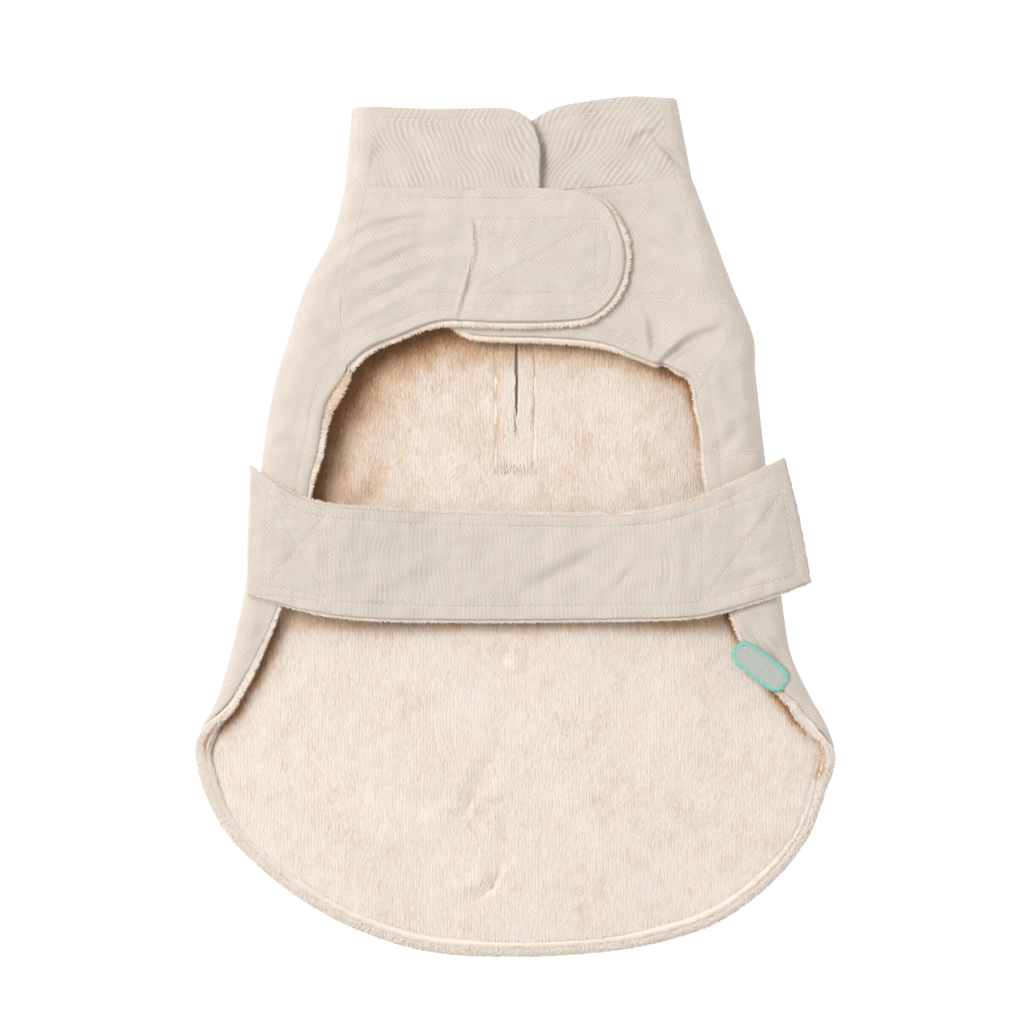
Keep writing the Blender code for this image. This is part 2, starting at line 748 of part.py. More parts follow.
def make_band():
    """Twill and fleece of the belly band, and the hook tape under its right end."""
    rows = 6
    columns = 22
    around = ("upper", "lower", "start", "end")
    layers = (("belly_band_lining", "fleece", 0.0, 0.0, LINING),
              ("belly_band_shell", "twill", BAND_PROUD, LINING + GAP, BODY_WALL))
    for name, look, proud, low, high in layers:
        lower = []
        upper = []
        for place in band_places(rows, columns):
            height = band_underside(place.x, place.y) - fold_depth(BAND_FOLDS, place.x, place.y)
            lower.append(Vector((place.x, place.y, height + low)))
            upper.append(Vector((place.x, place.y, height + high)))
        upper = pulled_in(upper, rows, columns, around, proud)
        lower = pulled_in(lower, rows, columns, around, proud)
        make_wall(name, look, upper, lower, grid_cells(rows, columns))
        if name == "belly_band_lining":
            make_belly_tape(lower, columns)


def make_belly_tape(underside, columns):
    """Hook tape under the right end of the belly band."""
    first_row, last_row = BELLY_TAPE_ROWS
    first_column, last_column = BELLY_TAPE_COLUMNS
    under = [underside[row * (columns + 1) + column]
             for row in range(first_row, last_row + 1)
             for column in range(first_column, last_column + 1)]
    make_tape("belly_hook_tape", under, last_row - first_row, last_column - first_column)


# Tab on the right turned edge.

def tab_floor(y):
    """Height just above the turned edge at a given y, near the tab."""
    rows = [row for row in EDGE if row.place in ("right_curl", "right_turned", "right_band_end")]
    ends = [edge_point(row, 1.0, 0.0) for row in rows]
    return spline([end.y for end in ends], [end.z for end in ends], y) + TAB_CLEARANCE


def make_tab():
    """Plain rounded tab that lies on the turned edge and overhangs its inner side."""
    turn = math.radians(TAB_TURN)
    lengthwise = Vector((math.cos(turn), math.sin(turn)))
    crosswise = Vector((-math.sin(turn), math.cos(turn)))
    rows = 5
    columns = 10
    lower = []
    for row in range(rows + 1):
        for column in range(columns + 1):
            ahead = math.sin(math.pi * (column / columns - 0.5))
            aside = math.sin(math.pi * (row / rows - 0.5))
            round_end = math.sqrt(1.0 - TAB_ROUNDING * abs(ahead) ** 5)
            place = Vector(TAB_CENTRE) + lengthwise * ahead * TAB_LENGTH / 2.0
            place = place + crosswise * aside * round_end * TAB_WIDTH / 2.0
            lower.append(Vector((place.x, place.y, tab_floor(place.y))))
    upper = [point + Vector((0.0, 0.0, TAB)) for point in lower]
    make_wall("edge_tab", "tab_felt", upper, lower, grid_cells(rows, columns))


def clear_scene():
    """Start from nothing, with one collection for the coat and one for its cutters."""
    for piece in list(bpy.data.objects):
        bpy.data.objects.remove(piece, do_unlink=True)
    for name in ("dog_winter_coat", "cutters"):
        collection = bpy.data.collections.new(name)
        bpy.context.scene.collection.children.link(collection)


def main():
    """Build every piece of the coat."""
    clear_scene()
    make_back()
    make_chest()
    make_collar()
    make_band()
    make_tab()


main()
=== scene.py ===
"""Dog winter coat laid flat on its back: its cloth, its sewing and its fleece pile.

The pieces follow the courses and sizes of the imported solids. Lengths and places in this file are
in millimetres and become metres when a mesh is made. A piece of cloth is a closed wall between
its face, which carries the seams, quilting and creases, and its back.
"""

import math
from collections import namedtuple

import bpy
import numpy as np
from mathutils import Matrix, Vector
from mathutils.bvhtree import BVHTree


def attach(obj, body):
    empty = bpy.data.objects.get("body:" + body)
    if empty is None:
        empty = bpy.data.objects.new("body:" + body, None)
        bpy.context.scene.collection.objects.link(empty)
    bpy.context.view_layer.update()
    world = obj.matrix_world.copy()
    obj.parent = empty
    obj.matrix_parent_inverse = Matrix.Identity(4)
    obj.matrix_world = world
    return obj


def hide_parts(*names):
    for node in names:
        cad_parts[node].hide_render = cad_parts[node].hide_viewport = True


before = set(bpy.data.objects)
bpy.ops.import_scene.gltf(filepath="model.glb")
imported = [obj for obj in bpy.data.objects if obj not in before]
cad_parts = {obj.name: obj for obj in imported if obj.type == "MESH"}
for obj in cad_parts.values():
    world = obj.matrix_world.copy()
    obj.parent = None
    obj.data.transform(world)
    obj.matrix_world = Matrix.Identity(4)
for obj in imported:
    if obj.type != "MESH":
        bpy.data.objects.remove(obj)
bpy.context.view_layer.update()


def rows_of(kind, table):
    """Rows of one kind from a plain table."""
    return tuple(kind(*row) for row in table)


METRES = 0.001
TURN_ROUND = 2.0 * math.pi

# Layers of the cloth and the gaps between them, as in the solids.
SHELL = 2.2
LINING = 2.5
COLLAR_WALL = 3.0
TAPE = 1.0
TAB = 1.0
GAP = 0.3
SEAM_GAP = 0.05
BODY_WALL = SHELL + GAP + LINING

# Edges: how far the flaps and the collar reach into the neck seam, how softly a seam is rounded,
# how far the fleece stands out past the twill, and how far it puffs up at the sides and the hem.
NECK_OVERLAP = 0.4
COLLAR_SEAT = 0.7
SEAM_SOFT = 1.3
FLAP_PROUD = 2.6
BAND_PROUD = 1.4
PUFF = 1.5
HEM_PUFF = 2.3

# Quilting, and the heights at which the flaps and the band lie.
QUILT_RAISE = 1.1
QUILT_SEAMS_X = np.array((-152.0, -87.0, -22.0, 45.0, 110.0, 175.0))
QUILT_SEAMS_Y = np.array((-40.0, 37.5, 115.0, 192.5))
PRESSED_UP_TO_Y = 38.0
RIGHT_FLAP_TOP = 17.5
LEFT_FLAP_TOP = RIGHT_FLAP_TOP + GAP + TAPE + GAP + BODY_WALL
NECK_TOP = 22.8
NECK_Y = 168.2
FLAP_SETTLE = 45.0
BAND_MIDDLE = 14.0
BAND_DIP_FROM = 90.0
BAND_DIP_TO = 30.0
BAND_DROOP_RADIUS = 40.0
BAND_CLEARANCE = 0.7

# Slit for a lead, and the sewn box round it in the lining.
SLIT_X = 1.0
SLIT_WIDTH = 2.2
SLIT_Y = (54.0, 118.0)
PLACKET = ((-9.3, 118.0), (-9.0, 30.5), (9.5, 30.5), (9.8, 80.0), (8.6, 118.0))

# Distance given to places that are on no free edge.
INNER = 99.0

# Sewing: how far top stitching lies inside an edge, and the size of one stitch.
TOPSTITCH = 6.0
STITCH_PITCH = 3.1
STITCH_LENGTH = 2.3
STITCH_WIDTH = 0.6
STITCH_RING = ((1.0, 0.0), (0.0, 1.0), (-1.0, 0.0), (0.0, -0.6))
STITCH_SPANS = ((-0.5, 0.35), (-0.3, 0.95), (0.3, 0.95), (0.5, 0.35))

# How far the twill and the lining end past the solids' edges along the two sides, by height:
# below zero they end short of them.
Trim = namedtuple("Trim", "y twill lining")
LEFT_TRIM = rows_of(Trim, (
    (-130.0, -2.6, 0.4), (-114.0, -2.4, 0.8), (-102.0, -1.4, 2.6), (-88.0, 0.4, 4.0),
    (-68.0, 1.5, 4.6), (-45.0, 0.0, 1.5), (-12.0, -1.5, 1.0), (14.0, -3.4, -2.2),
    (24.5, -4.6, -2.4), (34.5, -3.1, -0.4), (43.5, -2.8, -0.4), (54.3, -3.8, 0.0),
    (61.5, -5.2, 0.3), (67.0, -4.6, 1.0), (72.0, -2.9, 1.2), (76.5, -1.3, 0.8), (82.0, -0.2, 0.2),
    (88.0, 0.0, 0.0),
))
RIGHT_TRIM = rows_of(Trim, (
    (-130.0, -2.6, 0.4), (-114.0, -3.2, 0.8), (-101.0, -4.0, 1.8), (-86.0, -10.5, -6.0),
    (-66.0, -7.0, -5.0), (-55.0, 0.0, 1.5), (-45.0, 3.5, 5.0), (-12.0, -0.5, 0.5),
    (22.0, -1.6, -0.5), (47.0, -1.5, -0.5), (60.0, -1.2, -0.1), (66.0, 0.0, 0.0),
))

# Faces that meet at more than this angle meet in a sharp edge.
SHARP_ANGLE = math.radians(62.0)

# Distances from an edge at which a mesh has lines, to round the edge and to hold its stitching.
RIM = np.array((0.0, 0.2, 0.5, 0.9, 1.4, 2.0))
STITCHED_RIM = np.array((0.0, 0.2, 0.5, 0.9, 1.4, 2.0, 3.0, 4.2, 5.2, 5.7, 6.1, 6.5, 7.0, 8.0, 9.2))

# The folded outline of the coat, from the neck down the left side, round the hem and up the
# right side: the outermost point of each section, the radius and turn of its fold, the flat
# cloth past the fold, and the direction that the section faces.
Edge = namedtuple("Edge", "place x y radius turn reach way")
X, Y, RADIUS, TURN, REACH, WAY = range(6)
EDGE = rows_of(Edge, (
    ("left_neck", -85.0, 168.2, 11.4, 180, 0.0, 180),
    ("left_shoulder", -91.5, 144.0, 12.0, 180, 0.0, 180),
    ("left_chest", -105.0, 118.0, 12.5, 180, 6.5, 180),
    ("left_side", -113.5, 92.0, 13.0, 180, 14.5, 180),
    ("left_leg_top", -118.8, 75.0, 13.0, 180, 23.0, 180),
    ("left_leg", -123.5, 52.0, 13.0, 180, 18.5, 180),
    ("left_band_top", -127.5, 22.0, 12.5, 180, 17.5, 180),
    ("left_band", -132.0, -12.0, 11.0, 180, 13.0, 180),
    ("left_band_end", -137.5, -45.0, 9.5, 180, 8.0, 178),
    ("left_turned", -143.2, -68.0, 7.8, 180, 2.5, 170),
    ("left_curl", -149.5, -88.0, 7.2, 165, 0.0, 161),
    ("left_flare", -156.8, -102.0, 7.2, 115, 0.0, 166),
    ("left_wide", -159.4, -114.0, 7.5, 85, 0.0, 181),
    ("left_skirt", -154.8, -134.0, 8.0, 70, 0.0, 199),
    ("left_round", -145.0, -153.0, 8.0, 62, 0.0, 213),
    ("left_corner", -129.0, -169.8, 8.0, 60, 0.0, 228),
    ("hem_left", -108.0, -186.2, 8.0, 60, 0.0, 237),
    ("hem_left_mid", -80.0, -201.6, 8.0, 60, 0.0, 248),
    ("hem_left_low", -44.0, -212.8, 8.0, 60, 0.0, 260),
    ("hem_middle", -2.0, -215.4, 8.0, 60, 0.0, 270),
    ("hem_right_low", 39.0, -213.6, 8.0, 60, 0.0, 278),
    ("hem_right_mid", 72.0, -208.4, 8.0, 60, 0.0, 286),
    ("hem_right", 103.0, -197.6, 8.0, 60, 0.0, 299),
    ("right_corner", 129.0, -178.2, 8.0, 60, 0.0, 313),
    ("right_round", 146.5, -156.4, 8.0, 62, 0.0, 328),
    ("right_skirt", 155.6, -132.5, 7.8, 75, 0.0, 344),
    ("right_wide", 160.2, -114.0, 7.2, 125, 0.0, 362),
    ("right_flare", 156.6, -101.0, 7.2, 165, 2.0, 382),
    ("right_curl", 148.2, -86.0, 7.6, 180, 10.0, 384),
    ("right_turned", 138.8, -66.0, 8.4, 180, 14.0, 373),
    ("right_band_end", 134.8, -45.0, 9.5, 180, 12.5, 363),
    ("right_band", 131.0, -12.0, 11.0, 180, 15.0, 360),
    ("right_band_top", 126.6, 22.0, 12.5, 180, 20.0, 360),
    ("right_leg", 123.6, 47.0, 13.0, 180, 18.6, 360),
    ("right_leg_top", 122.0, 62.0, 13.0, 180, 19.5, 360),
    ("right_side", 120.4, 77.0, 12.9, 180, 10.0, 360),
    ("right_chest", 119.4, 94.0, 12.6, 180, 1.0, 360),
    ("right_upper", 108.8, 120.0, 11.6, 180, 0.0, 360),
    ("right_shoulder", 99.6, 145.0, 10.0, 180, 0.0, 360),
    ("right_neck", 88.8, 173.7, 8.75, 180, 0.0, 360),
))

# Outline of each chest flap's fleece, from its neck corner at the side seam, round its tip, to
# the leg opening, and of the belly band's fleece, from its upper left corner clockwise.
Outline = namedtuple("Outline", "place x y")
LEFT_FLAP = rows_of(Outline, (
    ("neck_seam", -73.3, 168.2), ("neck", -47.0, 167.6), ("neck", -7.0, 167.5),
    ("neck", 22.0, 166.8), ("neck_tip", 38.0, 164.0), ("shoulder", 47.5, 158.5),
    ("tip", 54.5, 148.0), ("tip", 57.5, 136.0), ("tip", 56.0, 122.5), ("tip", 49.5, 110.0),
    ("leg_tip", 38.0, 101.5), ("leg", 20.0, 98.8), ("leg", -8.0, 98.4), ("leg", -37.0, 99.0),
    ("leg_low", -57.0, 92.5), ("leg_end", -72.0, 85.6), ("leg_seam", -82.5, 75.0),
))
RIGHT_FLAP = rows_of(Outline, (
    ("neck_seam", 79.7, 173.7), ("neck", 60.0, 170.6), ("neck", 30.0, 167.9), ("neck", 5.0, 166.3),
    ("neck_tip", -18.0, 162.5), ("tip", -31.0, 155.5), ("tip", -38.5, 145.0), ("tip", -41.0, 131.0),
    ("tip", -39.5, 116.0), ("tip", -35.5, 103.0), ("leg_tip", -24.0, 93.6), ("leg", -5.0, 91.6),
    ("leg", 14.0, 91.2), ("leg", 43.0, 88.4), ("low", 62.0, 82.6), ("low", 70.5, 79.4),
    ("notch", 74.5, 80.2), ("wing", 80.5, 76.0), ("wing", 86.2, 72.8), ("wing", 88.6, 67.0),
    ("leg_seam", 89.2, 62.0),
))
BAND = rows_of(Outline, (
    ("upper_left", -131.2, 29.5), ("upper", -107.0, 15.0), ("upper", -82.0, 9.6),
    ("upper", -7.0, 6.5), ("upper", 62.0, 7.0), ("upper", 93.0, 15.0), ("upper_right", 134.5, 33.5),
    ("end", 142.0, 3.0), ("lower_right", 148.0, -28.8), ("lower", 121.0, -38.5),
    ("lower", 93.0, -46.0), ("lower", 62.0, -47.8), ("lower", -32.0, -48.5),
    ("lower", -90.0, -46.0), ("lower_left", -133.4, -35.0), ("end", -132.8, -3.0),
    ("close", -131.2, 29.5),
))

# How far each flap's twill lies inside its fleece where that is less than round its tip.
TWILL_INSETS = {"left": {"leg_low": 1.8, "leg_end": 2.2, "leg_seam": 3.4},
                "right": {"low": 1.0, "notch": 0.3, "wing": 0.9, "leg_seam": 0.9}}

# Edge of the leg opening, from the band up the left side and down the right one, the painted
# brown shade that lies inside it, and the turned-up sides of the skirt, beside which shade is painted too.
OPENING = ((-102.0, 14.0), (-100.5, 22.0), (-97.8, 30.8), (-95.0, 40.0), (-93.0, 49.5), (-90.5, 55.0),
           (-86.3, 64.5), (-81.3, 72.0), (-77.0, 82.0), (-71.0, 87.0), (-64.8, 89.5), (-57.0, 92.5),
           (-37.0, 98.5), (-30.0, 96.5), (-24.0, 93.6), (-5.0, 91.6), (14.0, 91.2), (43.0, 88.4),
           (62.0, 82.6), (74.5, 78.2), (86.3, 74.0), (88.6, 67.0), (91.3, 55.5), (92.8, 47.0), (94.3, 38.0),
           (95.2, 15.0))
Shade = namedtuple("Shade", "x reach depth")
OPENING_SHADE = rows_of(Shade, (
    (-102.0, 7.5, 1.0), (-88.0, 11.0, 1.0), (-70.0, 15.0, 1.0), (-42.0, 15.0, 0.95),
    (-22.0, 9.0, 0.65), (20.0, 6.0, 0.5), (60.0, 6.0, 0.55), (74.0, 3.4, 0.8), (90.0, 2.8, 0.8),
    (94.0, 2.0, 0.4),
))
SKIRT_LEFT = ((-118.8, -46.0), (-124.8, -64.0), (-132.8, -79.0), (-140.3, -91.0), (-148.8, -99.0))
SKIRT_RIGHT = ((106.8, -45.5), (114.3, -59.5), (128.8, -81.0), (138.8, -93.5), (146.8, -101.5))

# Rows of stitches along the leg opening where it crosses from the flaps to the folded sides.
WING_STITCHES = {
    "left": ((-62.0, 99.0), (-70.0, 96.0), (-80.0, 91.0), (-88.5, 83.5), (-94.5, 76.5), (-98.0, 68.0),
             (-100.5, 59.0), (-102.3, 48.0), (-104.8, 36.0), (-107.6, 25.0), (-109.0, 14.0)),
    "right": ((81.3, 83.2), (89.8, 78.2), (94.8, 72.0), (97.8, 64.0), (99.8, 55.5), (102.0, 42.5),
              (103.1, 28.2), (103.3, 19.0)),
}

# The collar's strip, run by run: where it is sewn to the neck and where its free edge lies.
Collar = namedtuple("Collar", "x seam_y top_y")
COLLAR_FRONT_LEFT = rows_of(Collar, (
    (-74.0, 168.6, 208.6), (-47.0, 168.2, 207.6), (-7.0, 168.0, 207.8), (-2.0, 168.0, 207.2),
    (4.5, 168.0, 204.2), (9.5, 167.9, 198.8), (12.8, 167.9, 188.0),
))
COLLAR_FRONT_RIGHT = rows_of(Collar, (
    (-7.0, 166.2, 186.0), (-3.0, 166.4, 193.0), (9.0, 167.2, 201.4), (23.0, 168.1, 208.4),
    (43.0, 169.7, 212.0), (63.0, 171.7, 214.1), (80.0, 174.1, 213.6),
))
COLLAR_BACK = rows_of(Collar, (
    (-74.0, 168.6, 208.6), (-40.0, 163.0, 202.4), (0.0, 160.8, 199.8), (40.0, 164.0, 203.2),
    (80.0, 174.1, 213.6),
))
COLLAR_LEFT = -85.0
COLLAR_RIGHT = 88.8
COLLAR_LEAN_LEFT = 3.6
COLLAR_LEAN_RIGHT = -7.6
COLLAR_RIGHT_TOP = 17.5

# Creases: depth of the trough, its half width, the height of the lip that stands
# beside it on its left, and the course that it runs. A ridge has a depth below zero.
Crease = namedtuple("Crease", "depth width lip course")
LEFT_CREASES = rows_of(Crease, (
    (2.3, 1.3, 1.3,
     ((-27.0, 103.0), (-24.5, 112.0), (-20.0, 126.0), (-17.6, 136.0), (-18.6, 146.0), (-20.5, 153.0))),
    (2.4, 2.6, 1.7, ((-36.0, 152.5), (-56.0, 151.5), (-72.0, 147.0), (-84.0, 140.0), (-92.0, 133.0))),
    (1.4, 2.2, 0.8, ((-66.0, 155.5), (-78.0, 153.0), (-86.0, 148.0))),
    (2.2, 3.0, 1.5, ((-26.0, 141.0), (-48.0, 136.0), (-70.0, 128.0), (-90.0, 118.0))),
    (1.7, 2.6, 1.2, ((-42.0, 125.0), (-58.0, 118.0), (-76.0, 109.0), (-88.0, 101.0))),
    (0.8, 2.6, 0.4, ((-30.0, 160.0), (-42.0, 163.0), (-58.0, 164.0))),
    (1.0, 3.0, 0.6, ((-72.0, 98.0), (-86.0, 93.0), (-98.0, 84.0))),
    (1.2, 3.6, 0.6, ((-104.0, 62.0), (-108.0, 48.0), (-106.0, 34.0))),
    (0.9, 4.0, 0.5, ((-118.0, 70.0), (-112.0, 84.0), (-104.0, 96.0))),
    (1.0, 3.0, 0.5, ((-124.0, 34.0), (-116.0, 40.0), (-106.0, 38.0))),
    (0.8, 3.0, 0.4, ((-132.0, -62.0), (-126.0, -54.0), (-120.0, -50.0))),
))
RIGHT_CREASES = rows_of(Crease, (
    (4.6, 2.2, 2.2, ((70.5, 75.0), (75.0, 81.5), (82.0, 87.0), (92.0, 93.5), (104.0, 98.0))),
    (1.2, 6.0, 0.8, ((78.0, 74.0), (86.0, 82.0), (97.0, 88.0), (112.0, 93.0))),
    (2.4, 1.8, 1.2, ((67.0, 77.0), (69.5, 90.0), (68.0, 102.0), (63.5, 115.0))),
    (1.2, 3.0, 0.8, ((58.0, 146.0), (66.0, 140.0), (76.0, 134.0), (88.0, 131.0))),
    (1.0, 3.2, 0.5, ((66.0, 130.0), (76.0, 122.0), (84.0, 112.0))),
    (0.8, 2.6, 0.5, ((56.0, 100.0), (60.0, 92.0), (65.0, 83.0))),
    (0.9, 3.4, 0.6, ((78.0, 160.0), (84.0, 150.0), (88.0, 138.0))),
    (1.2, 3.0, 0.7, ((99.0, 86.0), (106.0, 76.0), (110.0, 60.0), (108.0, 44.0))),
    (1.3, 3.0, 0.8, ((98.0, 32.0), (106.0, 40.0), (114.0, 50.0), (122.0, 56.0))),
    (1.0, 2.4, 0.5, ((104.0, 30.0), (113.0, 35.0), (124.0, 38.0))),
    (3.4, 2.1, 1.6, ((140.0, -77.5), (129.5, -66.5), (122.0, -57.5), (115.5, -50.0))),
    (3.0, 2.0, 1.4, ((139.0, -69.0), (133.0, -61.5), (125.5, -53.5))),
    (1.0, 3.0, 0.6, ((98.0, 128.0), (105.0, 119.0), (112.0, 110.0))),
))
BAND_CREASES = rows_of(Crease, (
    (2.0, 4.2, 1.2, ((-6.0, -38.0), (28.0, -22.0), (50.0, -10.0), (67.0, 1.0))),
    (1.4, 2.8, 0.8, ((45.0, -39.0), (54.0, -28.0), (62.0, -17.0))),
    (0.7, 4.0, 0.4, ((-60.0, -34.0), (-40.0, -24.0), (-24.0, -10.0))),
    (0.8, 3.0, 0.5, ((-98.0, 2.0), (-94.0, -14.0), (-96.0, -34.0))),
    (0.9, 3.0, 0.5, ((104.0, -30.0), (116.0, -26.0), (130.0, -19.0))),
    (0.8, 2.6, 0.5, ((118.0, -10.0), (126.0, 2.0), (132.0, 14.0))),
    (0.9, 3.2, 0.5, ((86.0, -36.0), (88.0, -16.0), (84.0, 2.0))),
    (0.7, 2.6, 0.4, ((74.0, -38.0), (78.0, -24.0), (76.0, -8.0))),
))
COLLAR_LEFT_CREASES = rows_of(Crease, (
    (0.7, 4.0, 0.4, ((-72.0, 176.0), (-66.0, 186.0), (-64.0, 198.0))),
    (0.6, 3.0, 0.3, ((-80.0, 186.0), (-70.0, 183.0), (-56.0, 184.0))),
))
COLLAR_RIGHT_CREASES = rows_of(Crease, (
    (3.4, 1.7, 1.2,
     ((59.0, 189.0), (61.5, 192.5), (65.5, 195.2), (69.5, 194.8), (73.0, 190.5), (78.5, 184.5),
      (86.0, 177.0), (94.0, 170.0))),
    (3.2, 3.2, 0.0, ((12.0, 206.0), (13.6, 190.0), (14.0, 160.0))),
))
FLEECE_CREASES = rows_of(Crease, (
    (1.5, 0.7, 0.0, ((0.7, 60.0), (1.0, 52.0), (1.4, 43.0))),
    (0.8, 3.6, 0.3, ((-1.0, -58.0), (-4.0, -66.0), (-7.0, -75.0))),
    (1.3, 4.6, 0.5, ((-32.0, -166.0), (-25.0, -148.0), (-14.0, -124.0), (-6.0, -100.0))),
    (1.2, 4.2, 0.4,
     ((-34.0, -193.0), (-18.0, -189.0), (-9.0, -180.0), (-4.0, -164.0), (-2.0, -140.0))),
    (0.9, 5.5, 0.4, ((66.0, -168.0), (54.0, -154.0), (40.0, -128.0), (27.0, -104.0))),
    (0.8, 6.5, 0.3, ((114.0, -163.0), (96.0, -142.0), (78.0, -112.0), (61.0, -84.0))),
    (0.5, 6.0, 0.2, ((-70.0, -170.0), (-76.0, -140.0), (-70.0, -112.0))),
    (0.5, 7.0, 0.2, ((-108.0, -140.0), (-112.0, -116.0), (-104.0, -92.0))),
    (0.8, 5.0, 0.3, ((28.0, 4.0), (17.0, 20.0), (9.0, 34.0))),
    (0.7, 5.0, 0.3, ((-34.0, 12.0), (-36.0, 40.0), (-30.0, 66.0))),
    (0.6, 6.0, 0.3, ((64.0, 20.0), (58.0, 44.0), (50.0, 66.0))),
    (0.9, 5.0, 0.4, ((-72.0, 12.0), (-62.0, 34.0), (-54.0, 54.0))),
))

# Valleys in which the lining is painted a shade browner, as painted shade.
FLEECE_VALLEY_SHADE = rows_of(Crease, (
    (0.24, 6.5, 0.0, ((-92.0, 4.0), (-82.0, 12.5), (-69.0, 24.0), (-56.0, 40.0))),
    (0.13, 5.0, 0.0, ((5.0, 40.0), (9.2, 32.5), (16.0, 22.0), (26.0, 8.0))),
    (0.13, 6.5, 0.0, ((40.0, 60.0), (37.7, 49.0), (34.0, 34.0), (32.0, 20.0))),
    (0.12, 6.5, 0.0, ((64.0, 46.0), (66.0, 39.0), (70.0, 19.0))),
    (0.12, 7.0, 0.0, ((-24.0, 78.0), (-28.0, 60.0), (-34.0, 36.0))),
    (0.12, 3.4, 0.0, ((-32.0, -166.0), (-25.0, -148.0), (-14.0, -124.0), (-6.0, -100.0))),
    (0.10, 4.0, 0.0, ((-34.0, -193.0), (-18.0, -189.0), (-9.0, -180.0), (-4.0, -164.0))),
    (0.08, 6.0, 0.0, ((66.0, -168.0), (54.0, -154.0), (40.0, -128.0), (27.0, -104.0))),
))

CREASES = {"left": LEFT_CREASES, "right": RIGHT_CREASES}
COLLAR_CREASES = {"front_left": COLLAR_LEFT_CREASES, "front_right": COLLAR_RIGHT_CREASES,
                  "right_fold": COLLAR_RIGHT_CREASES}
PINCH_AT = 62.0

# X boxes sewn over the hook tapes, each by its four corners; the chest tape by two corners, and
# the belly tape by shares of the way across the band and down it.
CHEST_X_BOX = ((-18.5, 151.5), (42.0, 151.5), (41.0, 114.5), (-23.0, 114.5))
RIGHT_X_BOX = ((93.5, 4.0), (134.0, 17.5), (141.0, -25.0), (94.5, -37.5))
LEFT_X_BOX = ((-122.0, 17.0), (-92.5, 5.5), (-92.0, -37.5), (-124.0, -30.0))
CHEST_TAPE = ((-17.0, 111.0), (41.0, 148.0))
TAPE_COLUMNS = 60
TAPE_ROWS = 50
BELLY_TAPE_ACROSS = (18.0 / 22.0, 21.0 / 22.0)
BELLY_TAPE_DOWN = (1.0 / 6.0, 5.0 / 6.0)

# The rounded tab on the right turned edge.
TAB_CENTRE = (122.5, -70.5)
TAB_TURN = -38.0
TAB_LENGTH = 30.0
TAB_WIDTH = 12.5
TAB_ROUNDING = 0.85
TAB_CLEARANCE = 0.5
WHIP_PITCH = 0.62
WHIP_WIDTH = 0.26

# Fleece pile on the flat lining: strands for each square millimetre, and their length, width and
# lift in degrees.
PILE_DENSITY = 2.0
PILE_LENGTH = 4.0
PILE_WIDTH = 0.66
PILE_LIFT = 2.7

# Pile round the hem, with the share of it on the inner face, and along the other edges.
HEM_STRANDS = 36000
HEM_INNER = 0.5
RIM_STRANDS_PER_MM = 16
RIM_STRAND = 2.3

# Cells of the back panel's mesh down the chest, down the body and along the hem, each of them
# divided again for its layer.
CHEST_ROWS = 9
BODY_ROWS = 20
HEM_COLUMNS = 18

# Glow of the floor, which hides the coat's shadow on it.
FLOOR_GLOW = 0.5

# Camera: height above the coat, and the width of the floor that it takes in.
CAMERA_X = -1.25
CAMERA_Y = 6.5
CAMERA_HEIGHT = 2400.0
FRAME_WIDTH = 512.0
FRAME_PLANE = 12.0
SENSOR = 36.0


# Numbers and curves.

def mix(start, end, share):
    """Value part of the way from start to end."""
    return start + (end - start) * share


def smoothstep(share):
    """Ease from 0 to 1 as share goes from 0 to 1."""
    share = np.clip(share, 0.0, 1.0)
    return share * share * (3.0 - 2.0 * share)


def spline(keys, values, at):
    """Smooth values at places between rising keys, a column for each kind of value."""
    keys = np.asarray(keys, float)
    values = np.asarray(values, float)
    at = np.clip(at, keys[0], keys[-1])
    left = np.clip(np.searchsorted(keys, at, side="right") - 1, 0, len(keys) - 2)
    order = np.arange(len(keys))
    before = np.maximum(order - 1, 0)
    after = np.minimum(order + 1, len(keys) - 1)
    slopes = (values[after] - values[before]) / (keys[after] - keys[before])[:, None]
    span = (keys[left + 1] - keys[left])[..., None]
    share = (at - keys[left])[..., None] / span
    square = share * share
    cube = square * share
    return (values[left] * (2.0 * cube - 3.0 * square + 1.0)
            + values[left + 1] * (3.0 * square - 2.0 * cube)
            + slopes[left] * span * (cube - 2.0 * square + share)
            + slopes[left + 1] * span * (cube - square))


class Course:
    """Smooth course through the rows of a table, read by the length along it."""

    def __init__(self, places, table, lengths=None):
        self.places = places
        self.table = table
        if lengths is None:
            steps = np.hypot(np.diff(table[:, X]), np.diff(table[:, Y]))
            lengths = np.concatenate(([0.0], np.cumsum(steps)))
        self.lengths = lengths

    @classmethod
    def through(cls, rows):
        """Course through the rows of a table that starts with the name of each place."""
        return cls([row.place for row in rows], np.array([row[1:] for row in rows], float))

    def length_at(self, place):
        """Length from the first row to a named one."""
        return self.lengths[self.places.index(place)]

    def between(self, start, end, shares):
        """Values at shares of the way between two named rows."""
        at = mix(self.length_at(start), self.length_at(end), np.asarray(shares, float))
        return spline(self.lengths, self.table, at)

    def inset(self, amounts, side):
        """The same course moved sideways: amounts by place, toward its right or left side.

        Lengths along it are still those of the course that it was moved from.
        """
        run = np.gradient(self.table[:, :2], axis=0)
        run /= np.linalg.norm(run, axis=1, keepdims=True)
        across = np.stack((run[:, 1], -run[:, 0]), axis=1) * side
        moved = self.table.copy()
        shift = np.array([amounts.get(place, amounts["other"]) for place in self.places])
        moved[:, :2] += across * shift[:, None]
        return Course(self.places, moved, self.lengths)


EDGE_COURSE = Course.through(EDGE)


